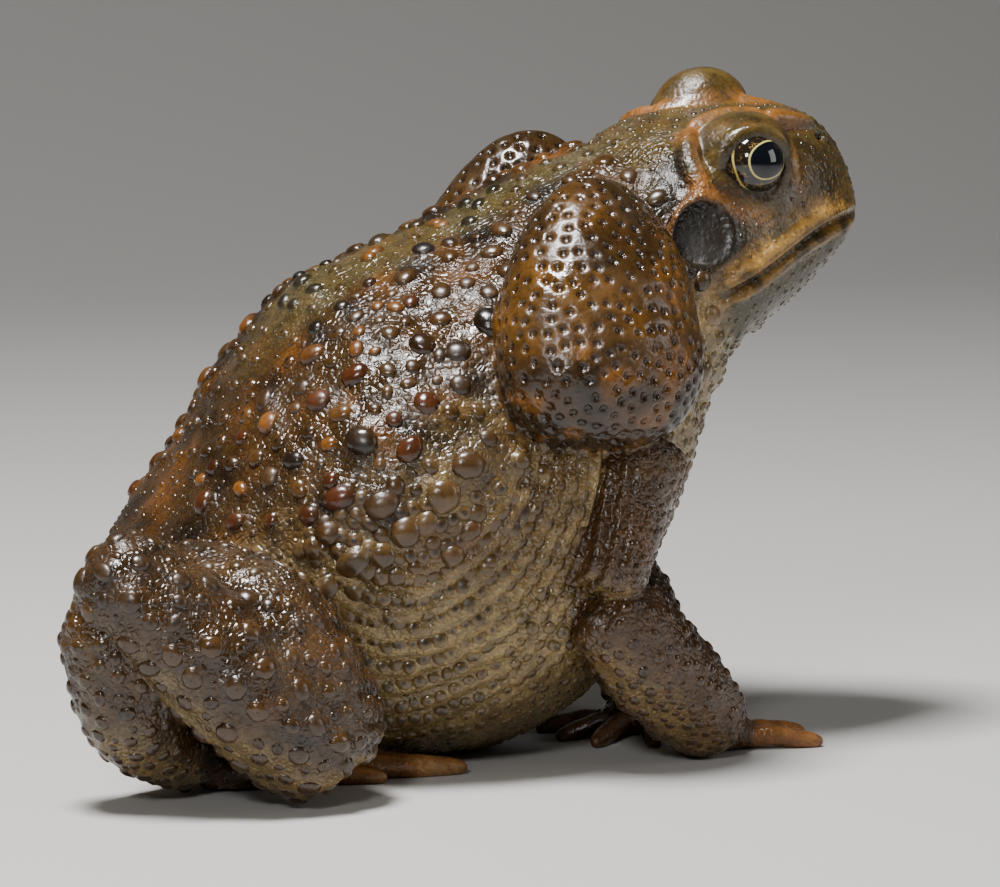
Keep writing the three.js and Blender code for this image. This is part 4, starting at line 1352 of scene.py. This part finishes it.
def skin_material(name, warty):
    """Wet skin. On the domes the relief colour holds the dark tips and the creases at their feet, which carry
    painted shade.
    """
    material, s, shader = new_material(name)
    where = s.node("ShaderNodeTexCoord").outputs["Object"]
    tint = s.node("ShaderNodeAttribute", attribute_name="tint")
    relief_node = s.node("ShaderNodeAttribute", attribute_name="relief")
    relief = s.node("ShaderNodeSeparateColor")
    s.wire(relief_node.outputs["Color"], relief.inputs[0])
    group = s.node("ShaderNodeGroup")
    group.node_tree = wet_skin
    s.wire(where, group.inputs["Place"])
    colour = tint.outputs["Color"]
    if warty:
        group.inputs["Granules"].default_value = 0.3
        s.wire(s.maths("MULTIPLY", relief.outputs[1], 0.5), group.inputs["Creases"])
        tip = s.band(relief.outputs[0], 0.3, 0.75)
        colour = s.mix(s.maths("MULTIPLY", tip, 0.85), colour, rgba("tip"))
        s.wire(s.maths("MULTIPLY", tip, 0.1), group.inputs["Dryness"])
        s.wire(s.maths("MULTIPLY", s.maths("SUBTRACT", 1.0, tip), WART_COAT), shader.inputs["Coat Weight"])
    else:
        s.wire(relief.outputs[0], group.inputs["Granules"])
        s.wire(relief.outputs[1], group.inputs["Creases"])
        s.wire(relief.outputs[2], group.inputs["Pits"])
        s.wire(relief_node.outputs["Alpha"], group.inputs["Dryness"])
        shader.inputs["Coat Weight"].default_value = SKIN_COAT
    s.wire(colour, group.inputs["Tint"])
    s.wire(group.outputs["Colour"], shader.inputs["Base Color"])
    s.wire(group.outputs["Roughness"], shader.inputs["Roughness"])
    bump = s.node("ShaderNodeBump")
    bump.inputs["Strength"].default_value = BUMP["strength"]
    bump.inputs["Distance"].default_value = BUMP["metres"]
    s.wire(group.outputs["Height"], bump.inputs["Height"])
    s.wire(bump.outputs[0], shader.inputs["Normal"])
    shader.inputs["Specular IOR Level"].default_value = 0.6
    shader.inputs["Coat Roughness"].default_value = 0.12
    return material


EYE_COLOURS = {
    "dark": (0.012, 0.008, 0.005, 1.0),
    "thread": (0.30, 0.19, 0.05, 1.0),
    "ring": (0.60, 0.52, 0.16, 1.0),
    "pupil": (0.002, 0.003, 0.006, 1.0),
    "rim": (0.46, 0.37, 0.10, 1.0),
    "back": (0.02, 0.014, 0.01, 1.0),
}
IRIS_THREADS = 1500.0
IRIS_FLECKS = 900.0


def eye_material():
    """A near-black eye: an oval pupil in a thin gold ring, gold threads in the iris, gold at its rim."""
    material, s, shader = new_material("moist eye")
    gaze = s.node("ShaderNodeSeparateColor")
    s.wire(s.node("ShaderNodeAttribute", attribute_name="gaze").outputs["Color"], gaze.inputs[0])
    across = s.maths("SUBTRACT", s.maths("MULTIPLY", gaze.outputs[0], 2.0), 1.0)
    above = s.maths("SUBTRACT", s.maths("MULTIPLY", gaze.outputs[1], 2.0), 1.0)

    def oval(wide, tall):
        a = s.maths("POWER", s.maths("ABSOLUTE", s.maths("DIVIDE", across, wide)), 2.2)
        b = s.maths("POWER", s.maths("ABSOLUTE", s.maths("DIVIDE", above, tall)), 2.2)
        return s.maths("ADD", a, b)

    pupil = oval(*PUPIL)
    iris = oval(*IRIS)
    where = s.node("ShaderNodeTexCoord").outputs["Object"]
    threads = s.band(s.cells(where, IRIS_THREADS, "DISTANCE_TO_EDGE"), 0.02, 0.12, 1.0, 0.0)
    flecks = s.band(s.noise(where, IRIS_FLECKS, 3.0), 0.5, 0.7)
    colour = s.mix(s.maths("MULTIPLY", threads, flecks), EYE_COLOURS["dark"], EYE_COLOURS["thread"])
    ring = s.maths("MULTIPLY", s.band(pupil, 0.98, 1.05), s.band(pupil, 1.24, 1.14))
    colour = s.mix(ring, colour, EYE_COLOURS["ring"])
    colour = s.mix(s.band(pupil, 1.0, 0.96), colour, EYE_COLOURS["pupil"])
    rim = s.maths("MULTIPLY", s.band(iris, 0.95, 0.99), s.band(iris, 1.07, 1.02))
    colour = s.mix(rim, colour, EYE_COLOURS["rim"])
    colour = s.mix(s.band(iris, 1.12, 1.3), colour, EYE_COLOURS["back"])
    s.wire(colour, shader.inputs["Base Color"])
    shader.inputs["Roughness"].default_value = 0.06
    shader.inputs["Coat Weight"].default_value = 0.5
    shader.inputs["Coat Roughness"].default_value = 0.02
    return material


bare_skin = skin_material("wet skin", warty=False)
wart_skin = skin_material("wet warts", warty=True)
moist_eye = eye_material()
skin.data.materials.clear()
skin.data.materials.append(bare_skin)
for piece in wart_pieces:
    piece.data.materials.append(wart_skin)
for piece in eyes.values():
    piece.data.materials.append(moist_eye)


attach(skin, "root")
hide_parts(*[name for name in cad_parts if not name.startswith("eye_")])
for piece, slot in zip(wart_pieces, ("back_skin", "back_skin", "back_skin", "limb_skin")):
    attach(piece, "root")
for side, word in ((RIGHT, "right"), (LEFT, "left")):
    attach(eyes[side], "root")
    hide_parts(f"eye_{word}")


# The floor, in metres: half its width, how far it reaches behind and in front, and the radius of its bend.
FLOOR = {"half": 2.6, "level": 2.6, "front": 1.8, "long": 5.2, "bend": 0.9}
FLOOR_COLOUR = (0.50, 0.49, 0.47, 1.0)


def build_floor():
    """A pale floor that curves up far behind."""
    clear_selection()
    bpy.ops.mesh.primitive_grid_add(x_subdivisions=2, y_subdivisions=80, size=1, location=(0, 0, 0))
    floor = bpy.context.object
    floor.name = "floor"
    level, front, bend = FLOOR["level"], FLOOR["front"], FLOOR["bend"]
    for corner in floor.data.vertices:
        x, run = corner.co.x * 2 * FLOOR["half"], (corner.co.y + 0.5) * FLOOR["long"]
        if run < level:
            y, z = run - front, 0.0
        elif run < level + bend * math.pi / 2:
            a = (run - level) / bend
            y, z = level - front + bend * math.sin(a), bend * (1 - math.cos(a))
        else:
            y, z = level - front + bend, bend + run - level - bend * math.pi / 2
        corner.co = (x, y, z)
    bpy.ops.object.shade_smooth()
    material, _, shader = new_material("pale floor")
    shader.inputs["Base Color"].default_value = FLOOR_COLOUR
    shader.inputs["Roughness"].default_value = 0.7
    floor.data.materials.append(material)


build_floor()

# The studio lights: where each stands and aims, in metres, its width and height, and its watts.
LIGHTS = {
    "overhead softbox": ((-0.18, -0.12, 0.8), (0, 0, 0.05), (0.2, 0.2), 15.5),
    "side softbox": ((-0.45, -0.8, 0.55), (0, 0, 0.05), (0.14, 0.18), 3.4),
    "front fill": ((0.75, -0.35, 0.3), (0.02, 0, 0.06), (0.3, 0.4), 1.0),
}
ROOM_COLOUR = (1.0, 0.97, 0.92, 1.0)
ROOM_STRENGTH = 0.07


def area_light(name, at, aim, size, watts):
    light = bpy.data.lights.new(name, "AREA")
    light.shape = "RECTANGLE"
    light.size, light.size_y = size
    light.energy = watts
    obj = bpy.data.objects.new(name, light)
    bpy.context.scene.collection.objects.link(obj)
    obj.location = at
    obj.rotation_euler = (Vector(aim) - Vector(at)).to_track_quat("-Z", "Y").to_euler()


for name, settings in LIGHTS.items():
    area_light(name, *settings)

world = bpy.data.worlds.new("studio")
bpy.context.scene.world = world
world.use_nodes = True
world.node_tree.nodes["Background"].inputs["Color"].default_value = ROOM_COLOUR
world.node_tree.nodes["Background"].inputs["Strength"].default_value = ROOM_STRENGTH

camera = bpy.data.cameras.new("camera")
camera.lens = VIEW_LENS
camera.sensor_width = VIEW_SENSOR
camera.clip_start = 0.05
camera_obj = bpy.data.objects.new("camera", camera)
bpy.context.scene.collection.objects.link(camera_obj)
camera_obj.location = Vector((VIEW_FROM + SHIFT) * MM)
camera_obj.rotation_euler = Vector(-VIEW_BACK).to_track_quat("-Z", "Y").to_euler()
bpy.context.scene.camera = camera_obj
